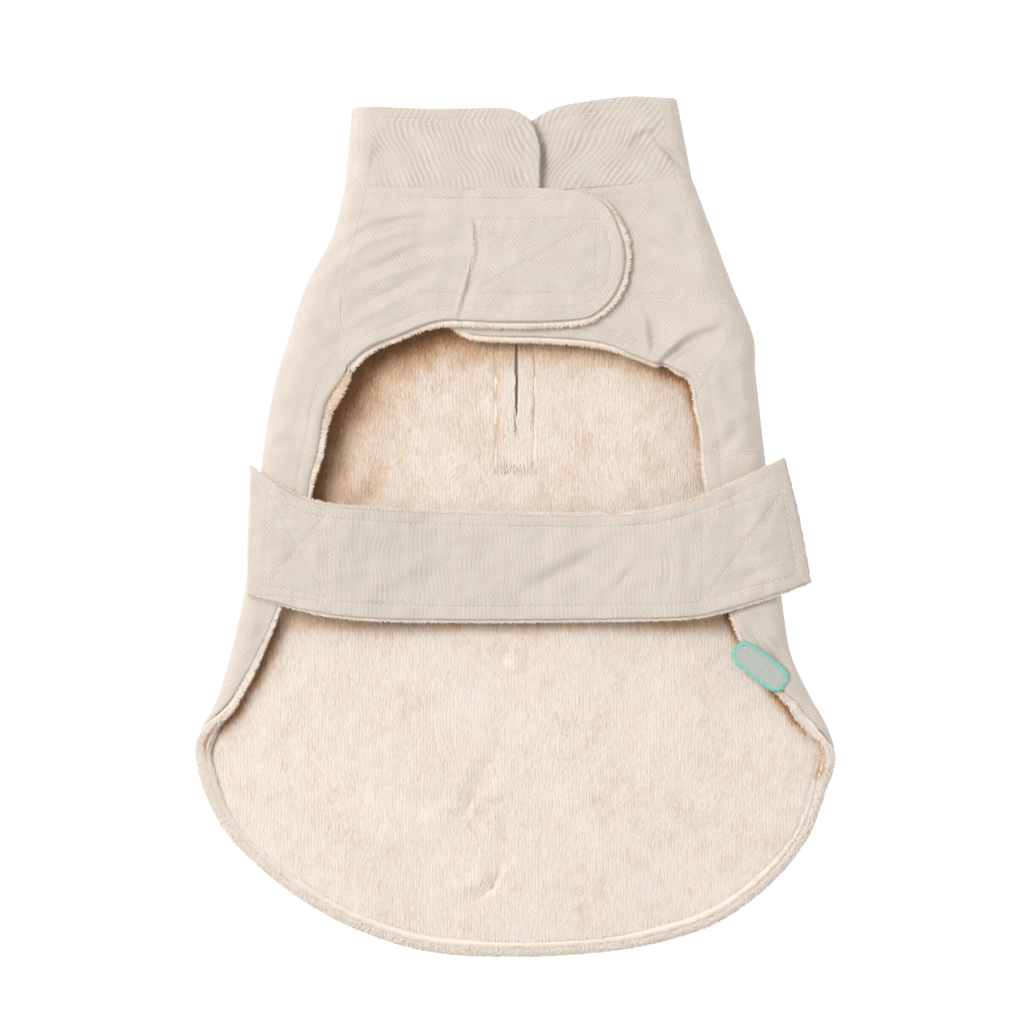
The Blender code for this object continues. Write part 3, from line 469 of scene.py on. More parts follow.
def stations(length, step, start, end, fine=None):
    """Shares along a length, closer together at its ends, where start and end list distances.

    They are closer together round the place called fine too.
    """
    samples = 400
    middle = np.linspace(start[-1], length - end[-1], samples)
    density = np.ones(samples)
    if fine is not None:
        density = 1.0 + 1.6 * np.exp(-((middle - fine) / 6.0) ** 2)
    steps = 0.5 * (density[1:] + density[:-1])
    total = np.concatenate(([0.0], np.cumsum(steps) * (middle[1] - middle[0])))
    count = max(int(round(total[-1] / step)), 2)
    middle = np.interp(np.linspace(0.0, total[-1], count + 1), total, middle)
    return np.concatenate((start[:-1], middle, (length - end[:-1])[::-1])) / length


def ripple(x, y, size, seed):
    """Smooth uneven relief, mostly from -1 to 1, with bumps about one size across.

    Each seed gives a relief of its own.
    """
    random = np.random.default_rng(seed)
    waves = 14
    total = np.zeros(np.shape(x))
    for _ in range(waves):
        heading = random.uniform(0.0, TURN_ROUND)
        pitch = size * random.uniform(1.4, 3.2)
        phase = random.uniform(0.0, TURN_ROUND)
        total += np.sin(TURN_ROUND * (x * math.cos(heading) + y * math.sin(heading)) / pitch + phase)
    return total / math.sqrt(waves)


def nearest(course, x, y):
    """Distance to a course, plus on its left side, and the share of the way along it."""
    best = np.full(np.shape(x), np.inf)
    signed = np.zeros(np.shape(x))
    along = np.zeros(np.shape(x))
    start = 0.0
    for (x0, y0), (x1, y1) in zip(course, course[1:]):
        run = math.hypot(x1 - x0, y1 - y0)
        ux = (x1 - x0) / run
        uy = (y1 - y0) / run
        ahead = np.clip((x - x0) * ux + (y - y0) * uy, 0.0, run)
        dx = x - x0 - ahead * ux
        dy = y - y0 - ahead * uy
        away = np.hypot(dx, dy)
        closer = away < best
        best = np.where(closer, away, best)
        signed = np.where(closer, np.copysign(away, ux * dy - uy * dx), signed)
        along = np.where(closer, start + ahead, along)
        start += run
    return signed, along / start


def creases(table, x, y):
    """Height of the listed creases, a little unsteady along their course."""
    height = np.zeros(np.shape(x))
    wobble = 0.9 * ripple(x, y, 14.0, 3)
    for crease in table:
        signed, along = nearest(crease.course, x, y)
        fade = np.sin(math.pi * (0.1 + 0.8 * along)) ** 1.3
        fade = fade * (0.8 + 0.2 * np.sin(9.0 * along + len(crease.course)))
        away = (np.abs(signed) + wobble * smoothstep(np.abs(signed) / 3.0)) / crease.width
        lip = (signed / crease.width - 2.0) / 0.9
        height -= crease.depth * fade * np.exp(-away * away)
        height += crease.lip * fade * np.exp(-lip * lip)
    return height


def sewn(lines, x, y, depth, width):
    """Grooves pressed by rows of stitches, with small puckers across them."""
    height = np.zeros(np.shape(x))
    for line in lines:
        signed, along = nearest(line, x, y)
        run = along * line_length(line)
        close = np.exp(-(signed / width) ** 2)
        pucker = 0.16 * depth * np.sin(TURN_ROUND * run / (2.0 * STITCH_PITCH)) * np.exp(-(signed / 3.4) ** 2)
        height = np.minimum(height, -depth * close) + pucker
    return height


def line_length(line):
    """Length of a row of plan points."""
    steps = np.diff(np.asarray(line, float)[:, :2], axis=0)
    return float(np.hypot(steps[:, 0], steps[:, 1]).sum())


def x_box(corners):
    """Rows of stitches of a sewn X box: its four sides and two diagonals."""
    a, b, c, d = corners
    return [(a, b), (b, c), (c, d), (d, a), (a, c), (b, d)]


# Shape of the coat.

def fold_line(edge):
    """Plan point where the cloth leaves the flat back and starts to turn up."""
    turn = np.radians(edge[..., TURN])
    way = np.radians(edge[..., WAY])
    short = edge[..., RADIUS] * np.sin(turn) + edge[..., REACH] * np.cos(turn)
    out = np.where(edge[..., TURN] < 90.0, short, edge[..., RADIUS])
    return np.stack((edge[..., X] - out * np.cos(way), edge[..., Y] - out * np.sin(way)), axis=-1)


def edge_length(edge):
    """Length of the cloth from the flat back to the edge's end."""
    return edge[..., RADIUS] * np.radians(edge[..., TURN]) + edge[..., REACH]


def edge_point(edge, course, depth):
    """Point of the turned edge at a length past the flat back and a depth in the wall."""
    turn = np.radians(edge[..., TURN])
    radius = edge[..., RADIUS]
    angle = np.minimum(course / radius, turn)
    flat = course - angle * radius
    out = (radius - depth) * np.sin(angle) + flat * np.cos(turn)
    up = radius - (radius - depth) * np.cos(angle) + flat * np.sin(turn)
    way = np.radians(edge[..., WAY])
    base = fold_line(edge)
    return np.stack((base[..., 0] + out * np.cos(way), base[..., 1] + out * np.sin(way), up), axis=-1)


def side_at(side, y):
    """Section of one side's edge at a given y."""
    if side == "left":
        last = EDGE_COURSE.places.index("left_band_end")
        table = EDGE_COURSE.table[last::-1]
    else:
        table = EDGE_COURSE.table[EDGE_COURSE.places.index("right_band_end"):]
    return spline(table[:, Y], table, y)


def side_top(side, y):
    """Height of the folded side's upper face."""
    return 2.0 * side_at(side, y)[..., RADIUS]


def seam_x(side, y):
    """Where the folded side ends at a given y."""
    edge = side_at(side, y)
    return edge_point(edge, edge_length(edge), 0.0)[..., 0]


def quilt_share(seams, at):
    """How far a place is from the seams beside it, from 0 on a seam to 1 midway."""
    cell = np.clip(np.searchsorted(seams, at, side="right") - 1, 0, len(seams) - 2)
    share = (at - seams[cell]) / (seams[cell + 1] - seams[cell])
    return np.sin(math.pi * np.clip(share, 0.0, 1.0))


def quilting(x, y):
    """Height by which the quilted twill is raised between its seams."""
    pressed = smoothstep((y - PRESSED_UP_TO_Y) / 12.0)
    return QUILT_RAISE * np.sqrt(quilt_share(QUILT_SEAMS_X, x) * quilt_share(QUILT_SEAMS_Y, y)) * pressed


def left_flap_top(x, y):
    """Upper face of the left chest flap, before quilting."""
    rest = mix(LEFT_FLAP_TOP, NECK_TOP, smoothstep((y - NECK_Y + 20.0) / 20.0))
    return mix(side_top("left", y), rest, smoothstep((x - seam_x("left", y)) / FLAP_SETTLE))


def right_flap_top(x, y):
    """Upper face of the right chest flap, before quilting."""
    return mix(side_top("right", y), RIGHT_FLAP_TOP, smoothstep((seam_x("right", y) - x) / FLAP_SETTLE))


def band_underside(x, y):
    """Lower face of the belly band's lining."""
    edge = np.where((x < 0.0)[..., None], side_at("left", y), side_at("right", y))
    rest = 2.0 * edge[..., RADIUS] + BAND_CLEARANCE + np.where(x < 0.0, 0.0, TAPE)
    dip = smoothstep((BAND_DIP_FROM - np.abs(x)) / (BAND_DIP_FROM - BAND_DIP_TO))
    past_fold = np.maximum(np.abs(x) - np.abs(fold_line(edge)[..., 0]), 0.0)
    return mix(rest, BAND_MIDDLE, dip) - past_fold * past_fold / (2.0 * BAND_DROOP_RADIUS)


# Meshes.

def patch(top, bottom, left, right, across, down):
    """Grid of points inside four sides, at given shares across and down."""
    u = across[None, :, None]
    v = down[:, None, None]
    sides = mix(left[:, None], right[:, None], u) + mix(top[None], bottom[None], v)
    corners = mix(mix(top[0], top[-1], u), mix(bottom[0], bottom[-1], u), v)
    return sides - corners


def grid_faces(rows, columns):
    """Quads of a grid of rows by columns of points."""
    numbers = np.arange(rows * columns).reshape(rows, columns)
    return np.stack((numbers[:-1, :-1], numbers[:-1, 1:], numbers[1:, 1:], numbers[1:, :-1]), -1).reshape(-1, 4)


def inside_distance(grid, sides):
    """Distance of each grid point from the nearest of the named sides, along the grid's lines."""
    steps = np.linalg.norm(np.diff(grid, axis=0), axis=2)
    down = np.concatenate((np.zeros((1, grid.shape[1])), np.cumsum(steps, axis=0)))
    steps = np.linalg.norm(np.diff(grid, axis=1), axis=2)
    across = np.concatenate((np.zeros((grid.shape[0], 1)), np.cumsum(steps, axis=1)), axis=1)
    found = {"top": down, "bottom": down[-1:] - down, "left": across, "right": across[:, -1:] - across}
    return np.minimum.reduce([found[side] for side in sides])


ALL_SIDES = ("top", "bottom", "left", "right")


def unit(vectors):
    """Vectors of length one."""
    return vectors / np.maximum(np.linalg.norm(vectors, axis=-1, keepdims=True), 1e-9)


def new_mesh(name, points, faces, material):
    """Object from points in millimetres and quads."""
    points = np.column_stack((points[:, :2], np.maximum(points[:, 2], 0.0)))
    mesh = bpy.data.meshes.new(name)
    mesh.vertices.add(len(points))
    mesh.vertices.foreach_set("co", (points * METRES).astype(np.float32).ravel())
    mesh.loops.add(faces.size)
    mesh.loops.foreach_set("vertex_index", faces.astype(np.int32).ravel())
    mesh.polygons.add(len(faces))
    mesh.polygons.foreach_set("loop_start", np.arange(0, faces.size, faces.shape[1], dtype=np.int32))
    mesh.update(calc_edges=True)
    mesh.shade_smooth()
    mesh.set_sharp_from_angle(angle=SHARP_ANGLE)
    mesh.materials.append(material)
    piece = bpy.data.objects.new(name, mesh)
    bpy.context.scene.collection.objects.link(piece)
    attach(piece, "root")
    return piece


def set_point_values(piece, name, values):
    """Number for each point of a piece, for its material."""
    layer = piece.data.attributes.new(name, "FLOAT", "POINT")
    layer.data.foreach_set("value", np.asarray(values, np.float32).ravel())


def set_cloth_map(piece, places):
    """Cloth map in centimetres, from places in the cut cloth."""
    layer = piece.data.uv_layers.new(name="cloth")
    loops = np.empty(len(piece.data.loops), np.int32)
    piece.data.loops.foreach_get("vertex_index", loops)
    layer.data.foreach_set("uv", (places[loops] * 0.1).astype(np.float32).ravel())


def rounded(face, back, distance):
    """Both sides of a wall drawn together at its edges into a round rim."""
    middle = 0.5 * (face + back)
    half = 0.5 * (face - back)
    radius = np.linalg.norm(half, axis=-1, keepdims=True) * 1.15
    share = np.clip(distance[..., None] / radius, 0.0, 1.0)
    fullness = np.maximum(np.sqrt(1.0 - (1.0 - share) ** 2), 0.12)
    return middle + half * fullness, middle - half * fullness


def make_cloth(name, face, back, faces, distance, relief, places, material, values=None):
    """Closed wall of cloth, rounded at its edges, with relief on its face."""
    outward = unit(face - back)
    face, back = rounded(face, back, distance)
    face = face + outward * (relief * smoothstep(distance / 1.5))[..., None]
    count = len(face)
    starts = faces.ravel()
    ends = np.roll(faces, -1, axis=1).ravel()
    lone = ~np.isin(starts * count + ends, ends * count + starts)
    a = starts[lone]
    b = ends[lone]
    rim = np.stack((b, a, a + count, b + count), axis=1)
    quads = np.concatenate((faces, faces[:, ::-1] + count, rim))
    points = np.concatenate((face, back))
    if signed_volume(points, quads) < 0.0:
        quads = quads[:, ::-1]
    piece = new_mesh(name, points, quads, material)
    set_cloth_map(piece, np.concatenate((places, places)))
    for key, numbers in (values or {}).items():
        set_point_values(piece, key, np.concatenate((numbers, numbers)))
    return piece


def make_grid_cloth(name, face, back, distance, relief, places, material, values=None):
    """Wall of cloth whose points and numbers all come as grids."""
    numbers = {key: grid.ravel() for key, grid in (values or {}).items()}
    return make_cloth(name, face.reshape(-1, 3), back.reshape(-1, 3), grid_faces(*face.shape[:2]),
                      distance.ravel(), relief.ravel(), places.reshape(-1, 2), material, numbers)


def signed_volume(points, quads):
    """Volume inside a closed mesh, below zero where it is inside out."""
    a, b, c, d = (points[quads[:, i]] for i in range(4))
    return float(np.einsum("ij,ij->i", a, np.cross(b, c) + np.cross(c, d)).sum())


# Stitches.

def walk(line, pitch):
    """Places and headings at even steps along a row of plan points."""
    line = np.asarray(line, float)
    steps = np.hypot(*np.diff(line, axis=0).T)
    lengths = np.concatenate(([0.0], np.cumsum(steps)))
    at = np.arange(0.5 * pitch, lengths[-1], pitch)
    place = np.stack([np.interp(at, lengths, line[:, i]) for i in (0, 1)], axis=1)
    ahead = np.stack([np.interp(at + 0.4, lengths, line[:, i]) for i in (0, 1)], axis=1)
    before = np.stack([np.interp(at - 0.4, lengths, line[:, i]) for i in (0, 1)], axis=1)
    return place, unit(ahead - before)


def lay_on(piece, places, headings, from_above):
    """Points, normals and headings of plan places dropped on a piece."""
    corners = [vertex.co.copy() for vertex in piece.data.vertices]
    polygons = [tuple(polygon.vertices) for polygon in piece.data.polygons]
    tree = BVHTree.FromPolygons(corners, polygons)
    start = 0.2 if from_above else -0.2
    down = Vector((0.0, 0.0, -1.0 if from_above else 1.0))
    found = []
    for place, heading in zip(places, headings):
        hit, normal, _, _ = tree.ray_cast(Vector((place[0] * METRES, place[1] * METRES, start)), down)
        if hit is not None and abs(normal.z) > 0.35:
            normal = normal if normal.z * down.z < 0.0 else -normal
            flat = Vector((heading[0], heading[1], 0.0))
            along = (flat - normal * flat.dot(normal)).normalized()
            found.append((hit / METRES, normal, along))
    return found


def stitch_points(centre, normal, along, side, length, width):
    """Rings of points of one raised stitch, tapered to its ends."""
    points = []
    for ahead, full in STITCH_SPANS:
        sunk = 0.35 * width * (1.0 - full)
        for across, up in STITCH_RING:
            points.append(centre + along * (ahead * length) + side * (across * full * width * 0.5)
                          + normal * (up * full * width * 0.5 - sunk))
    return points


def make_stitches(name, piece, lines, material, from_above=True, width=STITCH_WIDTH):
    """Rows of small raised stitches along plan lines on a piece."""
    places = []
    headings = []
    for line in lines:
        place, heading = walk(line, STITCH_PITCH)
        places.extend(place)
        headings.extend(heading)
    laid = lay_on(piece, places, headings, from_above)
    random = np.random.default_rng(len(laid))
    points = []
    quads = []
    for hit, normal, along in laid:
        side = normal.cross(along)
        centre = hit + normal * (0.1 * width)
        length = STITCH_LENGTH * random.uniform(0.88, 1.08)
        along = (along + side * random.uniform(-0.1, 0.1)).normalized()
        first = len(points)
        points.extend(stitch_points(centre, normal, along, side, length, width))
        for span in range(3):
            for corner in range(4):
                near = first + span * 4 + corner
                step = first + span * 4 + (corner + 1) % 4
                quads.append((near, step, step + 4, near + 4))
        quads.append((first + 3, first + 2, first + 1, first))
        quads.append((first + 12, first + 13, first + 14, first + 15))
    stitches = new_mesh(name, np.array(points), np.array(quads), material)


# Fleece pile.

def make_pile(name, roots, normals, ways, random, material, length=PILE_LENGTH, width=PILE_WIDTH,
              lift=PILE_LIFT, tones=0.0, spread=0.045, upright=0.0):
    """Strands of pile, each a small bent leaf, from its roots, normals and lie."""
    count = len(roots)
    lengths = (length * random.uniform(0.65, 1.2, count))[:, None]
    widths = (width * random.uniform(0.7, 1.3, count))[:, None]
    lifts = np.radians(lift * random.uniform(0.5, 1.5, count))[:, None]
    ways = unit(ways - normals * np.sum(ways * normals, axis=1, keepdims=True))
    aside = unit(np.cross(normals, ways) + normals * random.normal(0.0, 0.14, count)[:, None])
    middle = roots + ways * lengths * 0.45 + normals * lengths * (np.sin(lifts) * 0.7 + 0.03)
    tip = roots + ways * lengths * np.cos(lifts) + normals * lengths * np.sin(lifts)
    aside = aside * widths / 2
    points = np.stack((roots - normals * 0.05, middle - aside, tip, middle + aside), 1)
    quads = np.arange(4 * count).reshape(count, 4)
    piece = new_mesh(name, points.reshape(-1, 3), quads, material)
    tone = tones + random.normal(0.0, spread, count)
    # Each strand's root is painted darker and its tip a little lighter: painted shade between the strands.
    tone = np.repeat(tone[:, None], 4, axis=1) + np.array((-0.12, 0.0, 0.02, 0.0))
    set_point_values(piece, "tone", np.clip(0.55 + tone, 0.0, 1.0))
    leaning = unit(normals * (1.0 - upright) + np.array((0.0, 0.0, upright)))
    leaning = leaning - ways * 0.06 + random.normal(0.0, 0.055, (count, 3))
    shading = np.repeat(unit(leaning)[:, None], 4, axis=1).reshape(-1, 3)
    piece.data.normals_split_custom_set_from_vertices(shading.tolist())
    return piece


def combed(x, y):
    """Direction in plan in which the fleece is brushed."""
    heading = np.radians(-90.0 + 9.0 * ripple(x, y, 26.0, 11) + 7.0 * ripple(x, y, 5.0, 12)
                         - 0.05 * x * smoothstep((-60.0 - y) / 80.0))
    return np.stack((np.cos(heading), np.sin(heading), np.zeros(np.shape(x))), axis=-1)


def clumped(roots, ways, random, size, length, pull):
    """Lie of strands whose tips are drawn together into small locks."""
    tips = roots + ways * length
    cells = np.floor(tips[:, :2] / np.array((size, size * 2.6)) + random.uniform(0.0, 1.0)).astype(int)
    keys = cells[:, 0] * 100003 + cells[:, 1]
    _, group = np.unique(keys, return_inverse=True)
    total = np.bincount(group)
    centre = np.stack([np.bincount(group, tips[:, i]) / total for i in range(3)], axis=1)
    return unit(mix(tips, centre[group], pull) - roots)


# Materials.

class Graph:
    """Node tree of one material, built a node at a time."""

    def __init__(self, name):
        self.material = bpy.data.materials.new(name)
        self.material.use_nodes = True
        self.tree = self.material.node_tree
        self.shader = self.tree.nodes["Principled BSDF"]

    def add(self, kind, inputs=(), **settings):
        """New node with its inputs set from numbers or linked from other nodes' sockets."""
        node = self.tree.nodes.new(kind)
        for key, value in settings.items():
            setattr(node, key, value)
        for key, value in dict(inputs).items():
            if isinstance(value, bpy.types.NodeSocket):
                self.tree.links.new(value, node.inputs[key])
            else:
                node.inputs[key].default_value = value
        return node

    def maths(self, operation, a, b=0.0, clamp=False):
        """Result of one sum on numbers or sockets."""
        return self.add("ShaderNodeMath", {0: a, 1: b}, operation=operation, use_clamp=clamp).outputs[0]

    def weighted(self, *terms):
        """Sum of sockets, each times its own weight."""
        total = None
        for socket, weight in terms:
            part = self.maths("MULTIPLY", socket, weight)
            total = part if total is None else self.maths("ADD", total, part)
        return total

    def noise(self, place, scale, detail=3.0):
        """Node of noise at a place socket."""
        return self.add("ShaderNodeTexNoise", {"Vector": place, "Scale": scale, "Detail": detail})

    def attribute(self, name):
        """Socket of a number that the points of a piece carry."""
        return self.add("ShaderNodeAttribute", attribute_name=name).outputs["Fac"]

    def shift(self, operation, socket, amounts):
        """Socket of a vector sum."""
        return self.add("ShaderNodeVectorMath", {0: socket, 1: amounts}, operation=operation).outputs[0]

    def link(self, socket, name):
        """Join a socket to one of the shader's inputs."""
        self.tree.links.new(socket, self.shader.inputs[name])


def colour_mix(graph, factor, low, high):
    """Colour between two linear colours by a factor socket."""
    node = graph.add("ShaderNodeMix", {0: factor}, data_type="RGBA")
    node.inputs[6].default_value = (*low, 1.0)
    node.inputs[7].default_value = (*high, 1.0)
    return node.outputs[2]


def cloth_axes(graph):
    """Sockets of the cut cloth's x and y in millimetres, gently warped."""
    place = graph.add("ShaderNodeUVMap", uv_map="cloth").outputs[0]
    scaled = graph.shift("MULTIPLY", place, (10.0, 10.0, 10.0))
    noise = graph.noise(scaled, 0.09, 2.0).outputs["Color"]
    warped = graph.shift("ADD", scaled, graph.shift("MULTIPLY", noise, (5.0, 5.0, 0.0)))
    parts = graph.add("ShaderNodeSeparateXYZ", {0: warped})
    return warped, parts.outputs[0], parts.outputs[1]


def sine(graph, course, turns_per_unit, amount=0.5):
    """Wave round 0.5 along a course socket."""
    turns = graph.maths("MULTIPLY", course, TURN_ROUND * turns_per_unit)
    return graph.add("ShaderNodeMath", {0: graph.maths("SINE", turns), 1: amount, 2: 0.5},
                     operation="MULTIPLY_ADD").outputs[0]


def make_twill(name, low, high):
    """Brushed cotton twill: fine dotted diagonals, soft ribs where the cloth has them, and fuzz."""
    graph = Graph(name)
    place, x, y = cloth_axes(graph)
    rising = graph.weighted((x, 0.82), (y, 0.57))
    falling = graph.weighted((y, 0.82), (x, -0.57))
    diagonals = sine(graph, rising, 1.0 / 1.55)
    dots = sine(graph, falling, 1.0 / 1.15, 0.3)
    strength = graph.attribute("rib_strength")
    plain = graph.maths("SUBTRACT", 1.0, graph.maths("MULTIPLY", strength, 0.6))
    weave = graph.maths("MULTIPLY", graph.maths("MULTIPLY", diagonals, dots), plain)
    fuzz = graph.noise(place, 1.5).outputs["Fac"]
    mottle = graph.noise(place, 0.07).outputs["Fac"]
    rib = sine(graph, graph.attribute("rib"), 1.0)
    ribs = graph.maths("MULTIPLY", graph.maths("SUBTRACT", rib, 0.5), strength)
    tone = graph.weighted((weave, 0.5), (ribs, 0.4), (fuzz, 0.6), (mottle, 0.5))
    tone = graph.maths("ADD", tone, -0.18, clamp=True)
    graph.link(colour_mix(graph, tone, low, high), "Base Color")
    height = graph.weighted((weave, 0.6), (ribs, 1.3), (fuzz, 0.5))
    bump = graph.add("ShaderNodeBump", {"Strength": 0.55, "Distance": 0.00022, "Height": height})
    graph.link(bump.outputs[0], "Normal")
    graph.shader.inputs["Roughness"].default_value = 0.88
    graph.shader.inputs["Specular IOR Level"].default_value = 0.25
    graph.shader.inputs["Sheen Weight"].default_value = 0.12
    graph.shader.inputs["Sheen Roughness"].default_value = 0.5
    return graph.material


def make_fleece(name, stops):
    """Brushed fleece and its pile, coloured by their tone: brown where shade is painted in the hollows, cream
    on the tips.
    """
    graph = Graph(name)
    place = graph.add("ShaderNodeTexCoord").outputs["Object"]
    stretched = graph.shift("MULTIPLY", place, (1000.0, 220.0, 1000.0))
    streaks = graph.noise(stretched, 0.9).outputs["Fac"]
    uneven = graph.maths("MULTIPLY", graph.maths("SUBTRACT", streaks, 0.5), 0.14)
    tone = graph.maths("ADD", graph.attribute("tone"), uneven, clamp=True)
    ramp = graph.add("ShaderNodeValToRGB", {0: tone})
    elements = ramp.color_ramp.elements
    while len(elements) < len(stops):
        elements.new(0.5)
    for element, (position, colour) in zip(elements, stops):
        element.position = position
        element.color = (*colour, 1.0)
    graph.link(ramp.outputs[0], "Base Color")
    graph.shader.inputs["Roughness"].default_value = 0.92
    graph.shader.inputs["Specular IOR Level"].default_value = 0.12
    graph.shader.inputs["Sheen Weight"].default_value = 0.08
    graph.shader.inputs["Sheen Roughness"].default_value = 0.5
    return graph.material


def make_plain(name, low, high, size, roughness, bump_height):
    """Small-grained material for thread, tape and felt."""
    graph = Graph(name)
    place = graph.add("ShaderNodeTexCoord").outputs["Object"]
    grain = graph.noise(place, 1000.0 / size).outputs["Fac"]
    graph.link(colour_mix(graph, grain, low, high), "Base Color")
    bump = graph.add("ShaderNodeBump", {"Strength": 0.7, "Distance": bump_height * METRES, "Height": grain})
    graph.link(bump.outputs[0], "Normal")
    graph.shader.inputs["Roughness"].default_value = roughness
    graph.shader.inputs["Sheen Weight"].default_value = 0.1
    return graph.material


TWILL = make_twill("twill", (0.44, 0.385, 0.338), (0.68, 0.622, 0.566))
# The fleece's ramp runs from painted shade, brown at its low stops, to the fleece's own cream at the high ones.
FLEECE = make_fleece("fleece", ((0.0, (0.36, 0.175, 0.08)), (0.27, (0.66, 0.475, 0.335)),
                                (0.5, (0.81, 0.72, 0.645)), (1.0, (0.88, 0.83, 0.78))))
THREAD = make_plain("thread", (0.62, 0.56, 0.49), (0.78, 0.72, 0.64), 0.5, 0.75, 0.05)
HOOK_TAPE = make_plain("hook_tape", (0.50, 0.44, 0.38), (0.66, 0.60, 0.53), 0.7, 0.6, 0.4)
FELT = make_plain("tab_felt", (0.34, 0.38, 0.35), (0.46, 0.50, 0.46), 0.6, 0.9, 0.15)
TEAL = make_plain("tab_thread", (0.17, 0.52, 0.44), (0.30, 0.66, 0.57), 0.5, 0.7, 0.06)


# Pieces.

def flap_insets(side, layer):
    """How far a layer of a flap lies inside the fleece's outline."""
    amounts = {"neck_seam": -NECK_OVERLAP, "neck": -NECK_OVERLAP, "other": 0.0}
    if layer == "twill":
        amounts.update({"other": FLAP_PROUD, "neck_tip": 0.0, "shoulder": 0.35 * FLAP_PROUD})
        amounts.update(TWILL_INSETS[side])
    return amounts


def flap_grid(side, rows, insets, spacing, edge_lines):
    """Plan grid of one layer of a chest flap, from its side seam to its tip."""
    turned = 1.0 if side == "left" else -1.0
    inner = Course.through(rows).inset(insets, turned)
    across = stations(130.0, spacing, np.zeros(1), edge_lines, PINCH_AT if side == "left" else None)
    down = stations(68.0, spacing, edge_lines, edge_lines)
    neck = inner.between("neck_seam", "neck_tip", across)
    tip = inner.between("neck_tip", "leg_tip", down)
    leg = inner.between("leg_tip", "leg_seam", 1.0 - across)
    seam = side_seam(side, down * (1.0 - 1.3 * insets.get("leg_seam", 0.0) / 98.0))
    neck[0] = seam[0]
    leg[0] = seam[-1]
    return patch(neck, leg, seam, tip, across, down)


def chest_flap(side, rows, top, seams, shown, step):
    """Twill and fleece of one chest flap, with its pressed seams. Returns the twill."""
    layers = (("twill", 0.0, SHELL, step, STITCHED_RIM, TWILL, "shell"),
              ("fleece", SHELL + GAP, BODY_WALL, 2.0, RIM, FLEECE, "lining"))
    pieces = []
    for layer, near, far, spacing, edge_lines, look, node in layers:
        grid = flap_grid(side, rows, flap_insets(side, layer), spacing, edge_lines)
        x = grid[..., 0]
        y = grid[..., 1]
        height = top(x, y) + creases(CREASES[side], x, y) * shown(x)
        distance = np.minimum(inside_distance(grid, ("bottom", "right")),
                              SEAM_SOFT + inside_distance(grid, ("top",)))
        if layer == "twill":
            relief = twill_relief(x, y, shown(x)) + sewn(seams, x, y, 0.6, 0.9)
        else:
            relief = 0.3 * ripple(x, y, 5.0, 22)
        upper = np.dstack((x, y, height - near))
        lower = np.dstack((x, y, height - far))
        face, back = (upper, lower) if layer == "twill" else (lower, upper)
        plain = np.zeros(x.shape)
        values = {"rib": plain, "rib_strength": plain, "tone": plain + 0.5}
        piece = make_grid_cloth(side + "_chest_" + layer, face, back, distance, relief, grid, look, values)
        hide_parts(side + "_chest_" + node)
        pieces.append(piece)
    return pieces[0]


def twill_relief(x, y, shown):
    """Quilting and small unevenness that run on from the folded sides to the flaps."""
    neck = np.exp(-((y - 167.8 - 0.0007 * x * np.maximum(x, 0.0)) / 1.4) ** 2)
    return shown * quilting(x, y) + 0.22 * ripple(x, y, 9.0, 21) + 0.1 * ripple(x, y, 4.0, 23) - 0.5 * neck


def side_seam(side, shares):
    """Plan points of a chest flap's side seam, from the neck to the leg opening."""
    edge = EDGE_COURSE.between(side + "_neck", side + "_leg_top", shares)
    gap = SEAM_GAP if side == "left" else -SEAM_GAP
    return edge_point(edge, edge_length(edge), 0.0)[:, :2] + np.array((gap, 0.0))


def flap_topstitch(side, rows, turned, last):
    """Row of stitches just inside a flap's neck, tip and leg opening, as far as a named place."""
    amounts = {place: amount + TOPSTITCH for place, amount in flap_insets(side, "twill").items()}
    line = Course.through(rows).inset(amounts, turned)
    points = line.between("neck_seam", last, np.linspace(0.0, 1.0, 90))
    return [tuple(point) for point in points]


def flap_shown(side):
    """Where a flap shows its own quilting and creases: the right one only past the left one."""
    if side == "left":
        return lambda x: np.ones(np.shape(x))
    return lambda x: smoothstep((x - 56.0) / 10.0)


def make_chest():
    """Both chest flaps and their sewing."""
    left_seams = [flap_topstitch("left", LEFT_FLAP, 1.0, "leg_low"),
                  WING_STITCHES["left"],
                  ((-84.0, 116.5), (-60.0, 115.0), (-29.0, 115.0)),
                  ((-88.5, 144.0), (-87.0, 122.0), (-85.5, 102.0)),
                  ((-15.6, 151.0), (-15.2, 136.0), (-17.5, 126.0), (-21.5, 114.0), (-24.0, 105.0)),
                  ((46.5, 150.0), (48.5, 136.0), (46.5, 116.0))]
    left_seams += x_box(CHEST_X_BOX)
    left_twill = chest_flap("left", LEFT_FLAP, left_flap_top, left_seams, flap_shown("left"), 1.0)
    make_stitches("left_chest_stitches", left_twill, left_seams, THREAD)
    right_seams = [flap_topstitch("right", RIGHT_FLAP, -1.0, "low"), WING_STITCHES["right"],
                   ((64.0, 114.5), (86.0, 113.0), (108.0, 110.5))]
    right_twill = chest_flap("right", RIGHT_FLAP, right_flap_top, right_seams, flap_shown("right"), 1.15)
    make_stitches("right_chest_stitches", right_twill, right_seams, THREAD)


